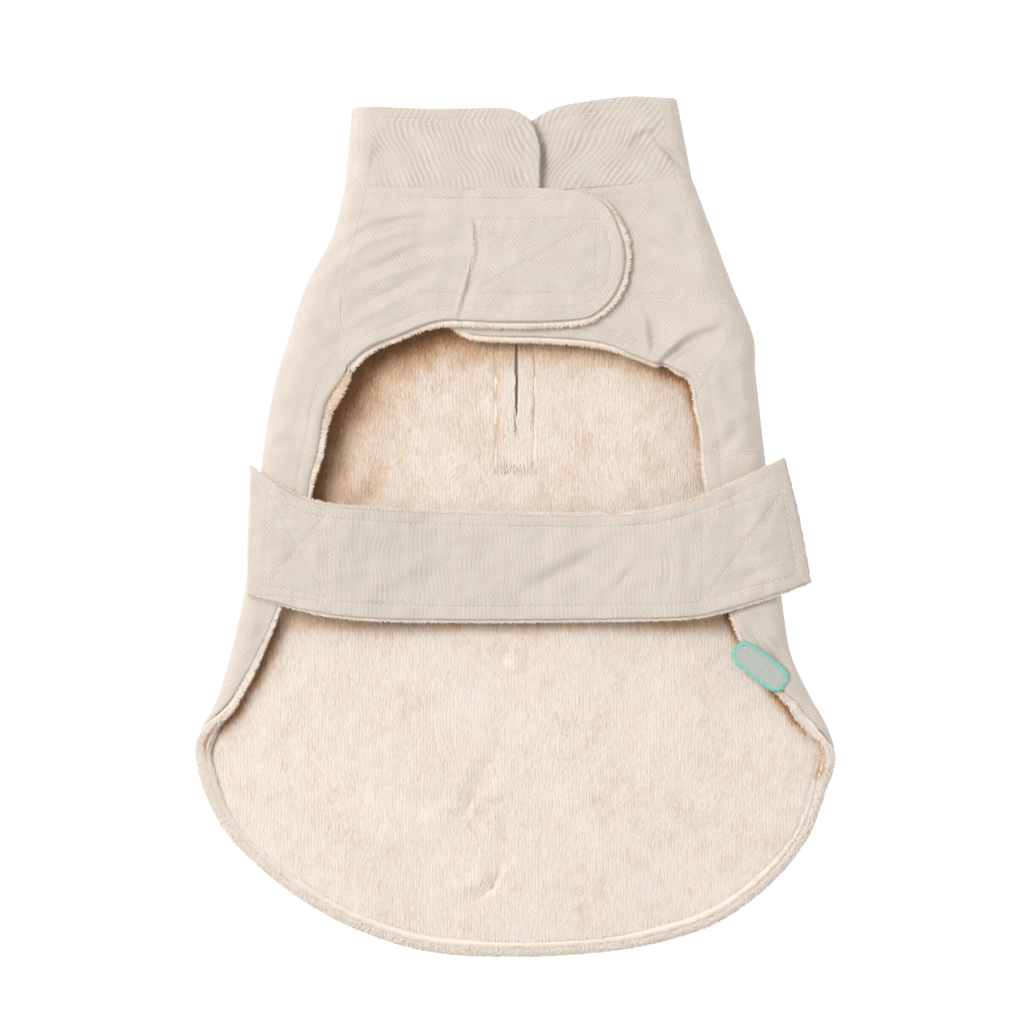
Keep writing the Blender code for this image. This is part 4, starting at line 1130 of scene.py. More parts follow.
def collar_places(run, share, height, depth):
    """Points of the collar: share along one run, height from the neck seam to the free edge."""
    share, height = np.broadcast_arrays(share, height)
    left_radius = NECK_TOP / 2.0
    right_radius = COLLAR_RIGHT_TOP / 2.0
    left = COLLAR_LEFT + COLLAR_LEAN_LEFT * height + left_radius
    right = COLLAR_RIGHT + COLLAR_LEAN_RIGHT * height - right_radius
    angle = math.pi * share
    upper_end = COLLAR_FRONT_LEFT[-1].x
    lower_end = COLLAR_FRONT_RIGHT[0].x
    first = COLLAR_BACK[0].x
    last = COLLAR_BACK[-1].x
    if run == "front_right":
        x = mix(lower_end, right, share)
        z = COLLAR_RIGHT_TOP - depth
        row = collar_row(COLLAR_FRONT_RIGHT, mix(lower_end, last, share))
    elif run == "right_fold":
        x = right + (right_radius - depth) * np.sin(angle)
        z = right_radius + (right_radius - depth) * np.cos(angle)
        row = collar_row(COLLAR_FRONT_RIGHT, np.full(share.shape, last))
    elif run == "back":
        x = mix(right, left, share)
        z = depth
        row = collar_row(COLLAR_BACK, mix(last, first, share))
    elif run == "left_fold":
        x = left - (left_radius - depth) * np.sin(angle)
        z = left_radius - (left_radius - depth) * np.cos(angle)
        row = collar_row(COLLAR_BACK, np.full(share.shape, first))
    else:
        x = mix(left, upper_end, share)
        z = NECK_TOP - depth
        row = collar_row(COLLAR_FRONT_LEFT, mix(first, upper_end, share))
    y = mix(row[..., 0] - COLLAR_SEAT, row[..., 1], height)
    return np.stack((x, y, np.broadcast_to(z, share.shape)), axis=-1)


def collar_row(rows, x):
    """Heights of the neck seam and the free edge of one run of the collar at given x."""
    table = np.array([row[1:] for row in rows])
    return spline([row.x for row in rows], table, np.asarray(x, float))


def make_collar():
    """Stand collar: one strip round the neck, its left end over its right end."""
    plain = np.zeros(1)
    runs = (("front_right", 88.0, STITCHED_RIM, plain), ("right_fold", 27.0, plain, plain),
            ("back", 150.0, plain, plain), ("left_fold", 36.0, plain, plain),
            ("front_left", 88.0, plain, STITCHED_RIM))
    heights = stations(40.0, 1.1, RIM, STITCHED_RIM)[:, None]
    faces = []
    backs = []
    ribs = []
    strengths = []
    developed = []
    start = 0.0
    for run, length, first, last in runs:
        step = 2.4 if run == "back" else 1.1
        shares = stations(length, step, first, last)
        if run != "front_right":
            shares = shares[1:]
        shares = shares[None, :]
        face = collar_places(run, shares, heights, 0.0)
        back = collar_places(run, shares, heights, COLLAR_WALL)
        if run in COLLAR_CREASES:
            sink = creases(COLLAR_CREASES[run], face[..., 0], face[..., 1])
            if run == "right_fold":
                sink = sink * (1.0 - smoothstep(shares / 0.6))
            face[..., 2] += sink
            back[..., 2] += sink
        faces.append(face)
        backs.append(back)
        phase, strength = collar_ribs(run, face)
        ribs.append(phase)
        strengths.append(strength)
        along = np.broadcast_to(start + shares * length, face.shape[:2])
        developed.append(np.stack((along, face[..., 1]), -1))
        start += length
    face = np.concatenate(faces, axis=1)
    back = np.concatenate(backs, axis=1)
    x = face[..., 0]
    y = face[..., 1]
    upper = face[..., 2] > 12.0
    distance = np.minimum(inside_distance(face, ("bottom", "left", "right")),
                          SEAM_SOFT + inside_distance(face, ("top",)))
    seams = collar_seams()
    relief = np.where(upper, 0.25 * ripple(x, y, 9.0, 31), 0.0)
    relief = relief + np.where(upper, sewn(seams, x, y, 0.5, 0.9), sewn(seams[-1:], x, y, 0.5, 0.9))
    phase = np.concatenate(ribs, axis=1)
    strength = np.concatenate(strengths, axis=1)
    relief = relief + 0.075 * strength * np.sin(TURN_ROUND * phase)
    places = np.concatenate(developed, axis=1)
    piece = make_grid_cloth("collar_twill", face, back, distance, relief, places, TWILL,
                            {"rib": phase, "rib_strength": strength})
    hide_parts("collar")
    make_stitches("collar_stitches", piece, seams[:-1], THREAD)
    make_stitches("collar_back_stitches", piece, seams[-1:], THREAD, from_above=False)


def collar_ribs(run, face):
    """Phase and strength of the wavy ribs that show in the collar's twill."""
    x = face[..., 0]
    y = face[..., 1]
    wave = 0.7 * np.sin(y / 4.6 + x / 21.0) + 0.4 * np.sin(y / 2.7 - x / 13.0 + 1.0)
    wave = wave + 0.9 * ripple(x, y, 12.0, 33)
    if run == "front_left":
        bend = y - 200.5
        slant = np.where(bend > 0.0, -0.55 * bend, 0.42 * bend)
        phase = (x + slant + wave) / 2.95
        strength = 0.25 + 0.75 * smoothstep((x + 78.0) / 22.0)
        return phase, strength * rib_breaks(x, y)
    if run == "front_right":
        slant = -0.55 * (y - 190.0) - 0.16 * (x - 40.0)
        phase = (x + slant + wave) / 2.8
        strength = smoothstep((x - 4.0) / 10.0) * (1.0 - 0.55 * smoothstep((x - 74.0) / 16.0))
        return phase, strength * rib_breaks(x, y)
    return x / 3.2, np.full(np.shape(x), 0.15)


def rib_breaks(x, y):
    """Uneven strength of the ribs, which fade and come back."""
    return 0.75 + 0.35 * ripple(x, y, 8.0, 34)


def collar_seams():
    """Rows of stitches on the collar: along the free edge, at the left end, and on the back."""
    end = [(5.6, 197.0), (5.2, 184.0), (5.2, 169.5)]
    return [collar_topstitch(COLLAR_FRONT_LEFT, -80.0, 6.0), collar_topstitch(COLLAR_FRONT_RIGHT, 15.0, 80.0),
            end, collar_topstitch(COLLAR_BACK, -74.0, 78.0)]


def collar_topstitch(rows, start, end):
    """Row of stitches just inside the free edge of one run of the collar."""
    x = np.linspace(start, end, 40)
    return list(zip(x, collar_row(rows, x)[:, 1] - TOPSTITCH))


def band_sides(inset, ends):
    """The band's four sides, each its own smooth course, so that its corners stay sharp."""
    amounts = {"end": ends, "upper_left": 0.5 * ends, "lower_left": 0.5 * ends, "close": 0.5 * ends,
               "other": inset}
    whole = Course.through(BAND).inset(amounts, 1.0)
    corners = [whole.places.index(place)
               for place in ("upper_left", "upper_right", "lower_right", "lower_left", "close")]
    return [Course(whole.places[a:b + 1], whole.table[a:b + 1]) for a, b in zip(corners, corners[1:])]


def whole_side(course, shares):
    """Points along the whole of one side of the band."""
    return spline(course.lengths, course.table, np.asarray(shares, float) * course.lengths[-1])


def band_grid(proud, spacing, edge_lines):
    """Plan grid of the belly band, inset from the fleece's outline."""
    upper, right, lower, left = band_sides(proud, 0.5 * proud)
    across = stations(272.0, spacing, edge_lines, edge_lines)
    down = stations(54.0, spacing, edge_lines, edge_lines)
    return patch(whole_side(upper, across), whole_side(lower, 1.0 - across), whole_side(left, 1.0 - down),
                 whole_side(right, down), across, down)


def band_topstitch():
    """Rows of stitches along the band's edges."""
    upper, _, lower, _ = band_sides(BAND_PROUD + TOPSTITCH, 0.0)
    shares = np.linspace(0.02, 0.98, 70)
    return [[tuple(point) for point in whole_side(course, shares)] for course in (upper, lower)]


def make_band():
    """Twill and fleece of the belly band, with its sewing."""
    seams = band_topstitch() + x_box(RIGHT_X_BOX) + x_box(LEFT_X_BOX)
    pieces = []
    layers = (("fleece", 0.0, 2.0, 0.0, LINING), ("twill", BAND_PROUD, 1.05, BODY_WALL, LINING + GAP))
    for layer, proud, spacing, near, far in layers:
        grid = band_grid(proud, spacing, STITCHED_RIM if layer == "twill" else RIM)
        x = grid[..., 0]
        y = grid[..., 1]
        height = band_underside(x, y) + creases(BAND_CREASES, x, y)
        distance = inside_distance(grid, ALL_SIDES)
        face = np.dstack((x, y, height + near))
        back = np.dstack((x, y, height + far))
        phase = (x + 0.6 * np.sin(y / 6.0 + x / 30.0) + 0.35 * np.sin(y / 3.1 - x / 11.0)
                 + 0.6 * ripple(x, y, 10.0, 44)) / 2.25
        strength = 0.5 * smoothstep((x + 106.0) / 16.0) * (1.0 - 0.7 * smoothstep((x - 88.0) / 8.0))
        strength = strength * rib_breaks(x, y)
        if layer == "twill":
            relief = 0.28 * ripple(x, y, 10.0, 41) + 0.14 * ripple(x, y, 4.0, 43)
            relief = relief + sewn(seams, x, y, 0.6, 0.9)
            relief = relief + 0.04 * strength * np.sin(TURN_ROUND * phase)
        else:
            relief = 0.25 * ripple(x, y, 5.0, 42)
        values = {"rib": phase, "rib_strength": strength, "tone": np.full(x.shape, 0.5)}
        piece = make_grid_cloth("band_" + layer, face, back, distance, relief, grid,
                                TWILL if layer == "twill" else FLEECE, values)
        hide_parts("belly_band_" + ("shell" if layer == "twill" else "lining"))
        pieces.append(piece)
    make_stitches("band_stitches", pieces[1], seams, THREAD)


def neck_line(shares):
    """Plan points of the back panel's neck edge, from the left fold to the right one."""
    ends = fold_line(EDGE_COURSE.table[[0, -1]])
    x = mix(ends[0, 0], ends[1, 0], shares)
    return np.stack((x, collar_row(COLLAR_BACK, x)[:, 0] - GAP), axis=1)


def slit_half_width(y, width):
    """Half width of the lead slit, which narrows to its ends."""
    low, high = SLIT_Y
    inside = np.clip((y - low) / (high - low), 0.0, 1.0)
    return 0.5 * width * (0.08 + 0.92 * np.sqrt(np.sin(math.pi * np.clip(inside, 0.0, 0.72))))


def open_slit(grid, width):
    """Move two columns of the flat back to the slit's sides and say which cells it takes out."""
    low, high = SLIT_Y
    row = int(np.argmin(np.abs(grid[:, grid.shape[1] // 2, 1] - 0.5 * (low + high))))
    column = int(np.searchsorted(grid[row, :, 0], SLIT_X)) - 1
    y = grid[:, column, 1]
    near = smoothstep((y - low + 7.0) / 7.0) * smoothstep((high + 7.0 - y) / 7.0)
    half = slit_half_width(y, width)
    for side, shift in ((column, -1.0), (column + 1, 1.0)):
        grid[:, side, 0] = mix(grid[:, side, 0], SLIT_X + shift * half, near)
    rows = np.nonzero((y[:-1] < high) & (y[1:] > low))[0]
    return rows * (grid.shape[1] - 1) + column


def wall_sections(row_cells, hem_cells):
    """Sections of the folded outline down the left side, along the hem and down the right side."""
    chest = np.linspace(0.0, 1.0, CHEST_ROWS * row_cells + 1)
    body = np.linspace(0.0, 1.0, BODY_ROWS * row_cells + 1)
    hem = np.linspace(0.0, 1.0, HEM_COLUMNS * hem_cells + 1)
    left, right = [np.concatenate((EDGE_COURSE.between(side + "_neck", side + "_leg_top", chest),
                                   EDGE_COURSE.between(side + "_leg_top", side + "_corner", body)[1:]))
                   for side in ("left", "right")]
    return left, EDGE_COURSE.between("left_corner", "right_corner", hem), right


def strip_course(length, ends, turn_cells):
    """Lengths past the flat back of each section's points, closer together toward its end."""
    squeeze = np.minimum(1.0, 0.8 * length / ends[-1])
    inner = np.linspace(0.0, 1.0, turn_cells + 1)[1:-1]
    to_end = (ends[None] * squeeze[:, None])[:, ::-1]
    return np.concatenate((inner[None] * (length - to_end[:, 0])[:, None], length[:, None] - to_end), axis=1)


def strip_faces(rows, columns, course):
    """Quads of the turned strip, which starts from three sides of the flat back's grid."""
    rim = np.concatenate((np.arange(rows) * columns, (rows - 1) * columns + np.arange(1, columns),
                          np.arange(rows - 2, -1, -1) * columns + columns - 1))
    numbers = rows * columns + np.arange(course.size).reshape(course.shape)
    ladder = np.concatenate((rim[:, None], numbers), axis=1)
    return np.stack((ladder[:-1, :-1], ladder[1:, :-1], ladder[1:, 1:], ladder[:-1, 1:]), -1).reshape(-1, 4)


def unrolled(edge, course):
    """Places of the turned strip's points in the cut cloth."""
    way = np.radians(edge[:, WAY])
    heading = np.stack((np.cos(way), np.sin(way)), axis=1)[:, None, :]
    return fold_line(edge)[:, None, :] + heading * course[..., None]


def back_wall(near, far, row_cells, hem_cells, turn_cells, proud, ends, slit):
    """Two faces of the back panel's cloth, its faces, and where each point lies in it.

    The points of the flat back come first, then those of the strip that turns up round it.
    """
    left, bottom, right = wall_sections(row_cells, hem_cells)
    rows = len(left)
    columns = len(bottom)
    across = np.linspace(0.0, 1.0, columns)
    grid = patch(neck_line(across), fold_line(bottom), fold_line(left), fold_line(right), across,
                 np.linspace(0.0, 1.0, rows))
    slit_cells = open_slit(grid, slit)
    quads = np.delete(grid_faces(rows, columns), slit_cells, axis=0)
    flat = grid.reshape(-1, 2)
    edge = np.concatenate((left, bottom[1:], right[-2::-1]))
    length = edge_length(edge) + proud(edge)
    course = strip_course(length, ends, turn_cells)
    face, back = [np.concatenate((np.column_stack((flat, np.full(len(flat), depth))),
                                  edge_point(edge[:, None, :], course, depth).reshape(-1, 3)))
                  for depth in (near, far)]
    flat_end = np.full(grid.shape[:2], INNER)
    flat_end[0] = 0.0
    flat_end[1] = np.abs(grid[1, :, 1] - grid[0, :, 1])
    order = np.minimum(np.arange(len(edge)), np.arange(len(edge))[::-1])[:, None]
    sewn_on = np.where(order < CHEST_ROWS * row_cells, INNER, 0.0)
    to_edge = length[:, None] - course + sewn_on
    to_rim = np.minimum(to_edge, SEAM_SOFT + order * 2.2)
    past_twill = course - (edge_length(edge) + twill_proud(edge))[:, None]
    over = smoothstep((course / edge[:, RADIUS, None] / math.pi - 0.6) / 0.3)
    over = on_wall(flat, 0.0, over)
    sink = over * np.where(face[:, 0] < 0.0, creases(LEFT_CREASES, face[:, 0], face[:, 1]),
                           creases(RIGHT_CREASES, face[:, 0], face[:, 1]))
    face[:, 2] += sink
    back[:, 2] += sink
    return {"face": face, "back": back,
            "quads": np.concatenate((quads, strip_faces(rows, columns, course))),
            "places": np.concatenate((flat, unrolled(edge, course).reshape(-1, 2))),
            "flat_points": len(flat),
            "to_rim": np.concatenate((flat_end.ravel(), to_rim.ravel())),
            "to_edge": on_wall(flat, INNER, to_edge),
            "over": over,
            "past_twill": on_wall(flat, -INNER, past_twill),
            "course": on_wall(flat, 0.0, course),
            "turn": on_wall(flat, 0.0, np.broadcast_to(edge[:, TURN, None], course.shape))}


def on_wall(flat, flat_value, strip):
    """Number for each point of the wall: one value on the flat back, and those of the strip."""
    return np.concatenate((np.full(len(flat), flat_value), strip.ravel()))


def trimmed(edge, layer):
    """How far one layer ends past the solids' edge at each section."""
    ends = [np.interp(edge[..., Y], [row.y for row in rows], [getattr(row, layer) for row in rows])
            for rows in (LEFT_TRIM, RIGHT_TRIM)]
    return np.where(edge[..., X] < 0.0, *ends)


def twill_proud(edge):
    """How far the twill ends past the solids' edge."""
    return trimmed(edge, "twill")


def fleece_proud(edge):
    """How far the lining ends past the solids' edge."""
    return trimmed(edge, "lining")


def make_back_twill():
    """Twill of the back panel: the flat underside and the two sides folded over it."""
    wall = back_wall(0.0, SHELL, 6, 4, 30, twill_proud, STITCHED_RIM, 0.15 * SLIT_WIDTH)
    face = wall["face"]
    x = face[:, 0]
    y = face[:, 1]
    over = wall["over"]
    seams = [((-140.0, 37.5), (-90.0, 37.5)), ((-140.0, 115.5), (-84.0, 115.5)),
             ((92.0, 37.5), (140.0, 37.5)), ((92.0, 112.0), (130.0, 110.0)),
             WING_STITCHES["left"], WING_STITCHES["right"]]
    under = under_seams()
    relief = over * (twill_relief(x, y, 1.0) + sewn(seams, x, y, 0.6, 0.9))
    relief = relief + 0.45 * np.exp(-((wall["to_edge"] - 0.5 * TOPSTITCH) / 1.8) ** 2) * (y > 0.0)
    relief = relief + (face[:, 2] < 1.0) * sewn(under, x, y, 0.45, 1.4)
    places = wall["places"].copy()
    mirrored = (x > 0.0) & (over > 0.0)
    places[mirrored, 1] *= -1.0
    plain = np.zeros(len(x))
    piece = make_cloth("back_twill", face, wall["back"], wall["quads"], wall["to_rim"], relief, places, TWILL,
                       {"rib": plain, "rib_strength": plain})
    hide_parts("back_shell")
    make_stitches("side_stitches", piece, seams, THREAD)
    make_stitches("under_stitches", piece, under, THREAD, from_above=False)


def under_seams():
    """Rows of quilting on the flat underside."""
    hem = EDGE_COURSE.between("left_corner", "right_corner", np.linspace(0.0, 1.0, 60))
    base = fold_line(hem)
    lines = []
    for seam in QUILT_SEAMS_X[1:-1]:
        low = float(np.interp(seam, base[:, 0], base[:, 1])) + 2.0
        top = 150.0 if abs(seam) < 60.0 else 30.0
        lines.append(((seam, low), (seam, top)))
    for seam, half in ((QUILT_SEAMS_Y[0], 100.0), (QUILT_SEAMS_Y[1], 100.0), (QUILT_SEAMS_Y[2], 100.0),
                       (-117.5, 140.0), (-195.0, 60.0)):
        lines.append(((-half, seam), (half, seam)))
    return lines


def fleece_height(x, y):
    """Relief of the lining's brushed face on the flat back."""
    height = creases(FLEECE_CREASES, x, y) + 0.9 * ripple(x, y, 40.0, 61) + 0.06 * ripple(x, y, 8.0, 62)
    height = height + placket(x, y) + hem_groove(x, y)
    return np.maximum(height, -1.9)


def placket(x, y):
    """The facing sewn round the slit: a flat raised panel with a crisp edge."""
    signed, _ = nearest(PLACKET, x, y)
    return 0.2 * smoothstep(0.5 + signed / 1.2) - 0.35 * np.exp(-((signed + 0.4) / 0.7) ** 2)


def wing_shade(x, y):
    """Shade on the lining's edge where it faces away from the light, inside the left wing."""
    return 0.16 * (x < 0.0) * smoothstep((y - 38.0) / 14.0)


def hollow_shade(away, reach, depth):
    """Painted brown shade beside cloth that overhangs the lining, by the distance away from it."""
    return depth * np.exp(-(np.maximum(away, 0.0) / reach) ** 1.4)


def fleece_shade(x, y):
    """How much painted brown shade a place on the lining gets: below overhanging cloth, in valleys, by the sewn
    box.
    """
    signed, _ = nearest(OPENING, x, y)
    places = [row.x for row in OPENING_SHADE]
    reach = np.interp(x, places, [row.reach for row in OPENING_SHADE])
    depth = np.interp(x, places, [row.depth for row in OPENING_SHADE])
    opening = smoothstep((y + 8.0) / 12.0) * hollow_shade(-signed, reach, depth)
    left, _ = nearest(SKIRT_LEFT, x, y)
    right, _ = nearest(SKIRT_RIGHT, x, y)
    sides = np.maximum(hollow_shade(left, 4.2, 0.95), hollow_shade(-right, 2.6, 0.9)) * smoothstep((y + 112.0) / 10.0)
    skirt = (y < -38.0) * np.maximum(sides, hollow_shade(-48.5 - y, 3.6, 0.4))
    sewn_box, _ = nearest(PLACKET, x, y)
    shade = np.maximum(np.maximum(opening, skirt), 0.35 * np.exp(-((sewn_box + 0.3) / 0.8) ** 2))
    return np.maximum(shade, 0.0) - creases(FLEECE_VALLEY_SHADE, x, y)


def make_back_fleece():
    """Fleece lining of the back panel, without its pile."""
    wall = back_wall(BODY_WALL, SHELL + GAP, 5, 6, 14, fleece_proud, STITCHED_RIM, SLIT_WIDTH)
    face = wall["face"]
    x = face[:, 0]
    y = face[:, 1]
    flat = np.arange(len(face)) < wall["flat_points"]
    relief = np.where(flat, fleece_height(x, y), hem_roll(wall["course"], wall["turn"]))
    # The lining's tone carries painted shade: in the hollows on the flat back, on the left wing's edge, and in
    # the crevice where the hem curls over (bend).
    share = wall["course"] / np.maximum(wall["course"] - wall["past_twill"], 1.0)
    bend = 0.3 * curled(wall["turn"]) * smoothstep((1.02 - share) / 0.15)
    tone = 0.55 - np.where(flat, 0.6 * fleece_shade(x, y), wing_shade(x, y) + bend)
    puff = lining_puff(wall["turn"]) * smoothstep(wall["past_twill"] / 1.2)
    back = wall["back"] + unit(wall["back"] - face) * puff[:, None]
    piece = make_cloth("back_fleece", face, back, wall["quads"], wall["to_rim"], relief,
                       wall["places"], FLEECE, {"tone": tone})
    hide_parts("back_lining")


def inside(polygon, x, y):
    """Whether plan points lie inside a polygon."""
    found = np.zeros(np.shape(x), bool)
    for (x0, y0), (x1, y1) in zip(polygon, np.roll(polygon, -1, axis=0)):
        if y0 == y1:
            continue
        crosses = (y > min(y0, y1)) & (y <= max(y0, y1)) & (x < x0 + (y - y0) * (x1 - x0) / (y1 - y0))
        found ^= crosses
    return found


def flat_pile(name, region, seed, polygon):
    """Pile on the flat lining inside one region."""
    random = np.random.default_rng(seed)
    x0, x1, y0, y1 = region
    step = 1.0 / math.sqrt(PILE_DENSITY)
    x, y = np.meshgrid(np.arange(x0, x1, step), np.arange(y0, y1, step))
    x = x.ravel() + random.uniform(-0.5, 0.5, x.size) * step
    y = y.ravel() + random.uniform(-0.5, 0.5, y.size) * step
    keep = inside(polygon, x, y)
    signed, _ = nearest(PLACKET, x, y)
    keep &= np.abs(signed + 0.3) > 0.3
    over_slit = np.abs(x - SLIT_X) < slit_half_width(y, SLIT_WIDTH) + 0.1
    keep &= ~(over_slit & (y > SLIT_Y[0]) & (y < SLIT_Y[1]))
    x = x[keep]
    y = y[keep]
    height = fleece_height(x, y)
    slope_x = (fleece_height(x + 0.5, y) - height) / 0.5
    slope_y = (fleece_height(x, y + 0.5) - height) / 0.5
    normals = unit(np.stack((-slope_x, -slope_y, np.ones(x.shape)), axis=1))
    roots = np.stack((x, y, BODY_WALL + height), axis=1)
    ways = clumped(roots, combed(x, y), random, 1.7, PILE_LENGTH, 0.45)
    tones = 0.03 * ripple(x, y, 22.0, seed + 1) + 0.03 * ripple(x, y, 6.0, seed + 2)
    # Painted shade from fleece_shade, and a little more painted shade over the leg opening, from y -20 up.
    tones = tones - 0.6 * fleece_shade(x, y)
    tones = tones - 0.04 * smoothstep((y + 20.0) / 30.0)
    return make_pile(name, roots, normals, ways, random, FLEECE, tones=tones)


def edge_strands(points, outward, up, band, raised, random):
    """Strands that stand out round a fleece edge, rooted over a band of its upper face."""
    steps = np.linalg.norm(np.diff(points, axis=0), axis=1)
    lengths = np.concatenate(([0.0], np.cumsum(steps)))
    band = np.broadcast_to(np.asarray(band, float), lengths.shape)
    count = int(lengths[-1] * RIM_STRANDS_PER_MM * (1.0 + band.mean() / 3.0))
    at = np.sort(random.uniform(0.0, lengths[-1], count))
    place, out, high = (np.stack([np.interp(at, lengths, source[:, i]) for i in range(3)], axis=1)
                        for source in (points, outward, up))
    reach = np.interp(at, lengths, band)[:, None]
    lifted = np.interp(at, lengths, np.broadcast_to(raised, lengths.shape))[:, None]
    inward = random.uniform(-0.4, 1.0, count)
    on_top = np.clip(inward, 0.0, 1.0)[:, None]
    on_side = np.clip(-inward / 0.4, 0.0, 1.0)[:, None]
    tuft = 6.0 * ripple(at, at * 0.0, 3.4, 7)
    angle = np.radians(mix(6.0, -48.0, on_side[:, 0]) + tuft + random.uniform(-8.0, 8.0, count))[:, None]
    ways = out * np.cos(angle) + high * np.sin(angle)
    along = np.cross(high, out)
    swing = (0.26 * ripple(at, at * 0.0, 3.0, 8) + random.normal(0.0, 0.12, count))[:, None]
    ways = unit(ways + along * swing)
    side_normal = unit(out * on_side + high * (1.0 - on_side) + high * 0.5)
    roots = place - out * (1.1 + on_top * reach)
    roots = roots + high * (0.5 * LINING * (0.9 - 1.5 * on_side) + lifted * (1.0 - on_side))
    return roots, side_normal, ways


def make_edge_pile(name, runs, seed, length=RIM_STRAND, tone=-0.04, shade=None):
    """Pile along several fleece edges, as one mesh.

    A run ends with the width of its band and the height by which the band is puffed up.
    """
    random = np.random.default_rng(seed)
    parts = [edge_strands(*run, random) for run in runs]
    roots, normals, ways = (np.concatenate([part[i] for part in parts]) for i in range(3))
    tones = 0.04 * ripple(roots[:, 0], roots[:, 1], 8.0, seed) + tone
    if shade is not None:
        tones = tones - shade(roots[:, 0], roots[:, 1])
    return make_pile(name, roots, normals, ways, random, FLEECE, length=length, width=0.3, lift=3.0,
                     tones=tones, upright=0.4)


def hem_run(start, end):
    """The back lining's edge between two places, with its outward and upward directions."""
    edge = EDGE_COURSE.between(start, end, np.linspace(0.0, 1.0, 160))
    proud = fleece_proud(edge)
    band = proud - twill_proud(edge)
    length = edge_length(edge) + proud
    depth = 0.5 * (BODY_WALL + SHELL + GAP)
    tip = edge_point(edge, length, depth)
    outward = unit(tip - edge_point(edge, length - 0.5, depth))
    up = unit(edge_point(edge, length, BODY_WALL) - edge_point(edge, length, SHELL + GAP))
    turned = smoothstep((edge[:, TURN] - 75.0) / 60.0)
    up = unit(mix(up, np.array((0.0, 0.0, 1.0)), turned[:, None]))
    return tip, outward, up, band, (PUFF + 0.1) * smoothstep((edge[:, TURN] - 120.0) / 30.0)


def flap_run(side, rows, start, top):
    """A flap's fleece edge from a named place on, with its outward and upward directions."""
    course = Course.through(rows)
    shares = np.linspace(0.0, 1.0, 160)
    points = course.between(start, "leg_seam", shares)[:, :2]
    insets = flap_insets(side, "twill")
    insets = [max(insets.get(place, insets["other"]), 0.0) for place in course.places]
    at = mix(course.length_at(start), course.length_at("leg_seam"), shares)
    x = points[:, 0]
    y = points[:, 1]
    z = top(x, y) - (SHELL + GAP + 0.5 * LINING) + creases(CREASES[side], x, y) * flap_shown(side)(x)
    turned = 1.0 if side == "left" else -1.0
    return edge_run(points, z, turned, np.interp(at, course.lengths, insets))


def edge_run(points, z, side, band):
    """Points of an edge in plan and height, with its outward and upward directions."""
    run = unit(np.gradient(points, axis=0))
    level = np.zeros(len(points))
    return (np.column_stack((points, z)),
            np.column_stack((-run[:, 1] * side, run[:, 0] * side, level)),
            np.column_stack((level, level, level + 1.0)), band, level)


def make_all_pile():
    """Pile on the skirt, in the leg opening and along every fleece edge."""
    edge = EDGE_COURSE.between("left_leg_top", "right_leg_top", np.linspace(0.0, 1.0, 400))
    polygon = fold_line(edge)
    skirt = flat_pile("skirt_pile", (-160.0, 160.0, -215.0, -34.0), 71, polygon)
    top = np.concatenate((polygon, ((100.0, 112.0), (-100.0, 112.0))))
    opening = flat_pile("opening_pile", (-100.0, 100.0, -8.0, 108.0), 72, top)
    both = [hem_run("left_leg_top", "left_flare"), hem_run("right_flare", "right_leg_top")]
    sides = make_edge_pile("side_pile", both, 73, shade=wing_shade)
    left = flap_run("left", LEFT_FLAP, "neck_tip", left_flap_top)
    right = flap_run("right", RIGHT_FLAP, "tip", right_flap_top)
    left_flap = make_edge_pile("left_flap_pile", [left], 74, 2.4, -0.1)
    right_flap = make_edge_pile("right_flap_pile", [right], 78, 2.2, -0.1)
    around = [side_run(course) for course in band_sides(0.0, 0.0)]
    bands = make_edge_pile("band_pile", around, 75, 1.9)
    hem = make_hem_pile()


def side_run(course):
    """One side of the band's fleece edge, with its outward and upward directions."""
    points = whole_side(course, np.linspace(0.0, 1.0, 80))[:, :2]
    z = band_underside(points[:, 0], points[:, 1]) + creases(BAND_CREASES, points[:, 0], points[:, 1])
    return edge_run(points, z + 0.5 * LINING, 1.0, BAND_PROUD)


def curled(turn):
    """How far a section curls over the lining without lying down on it."""
    return smoothstep((turn - 70.0) / 30.0) * smoothstep((185.0 - turn) / 25.0)


def hem_roll(course, turn):
    """Relief of the lining's turned part, a soft roll that fills the bend."""
    return (0.7 + 1.4 * curled(turn)) * smoothstep((course - 0.3) / 3.0)


def lining_puff(turn):
    """How far the lining's edge puffs out over the twill's."""
    return mix(HEM_PUFF, PUFF, smoothstep((turn - 120.0) / 50.0))


def hem_groove(x, y):
    """Groove of the hem, seen from the flat back."""
    edge = EDGE_COURSE.between("left_wide", "right_wide", np.linspace(0.0, 1.0, 50))
    signed, _ = nearest(fold_line(edge), x, y)
    return -0.2 * np.exp(-(signed / 1.0) ** 2)


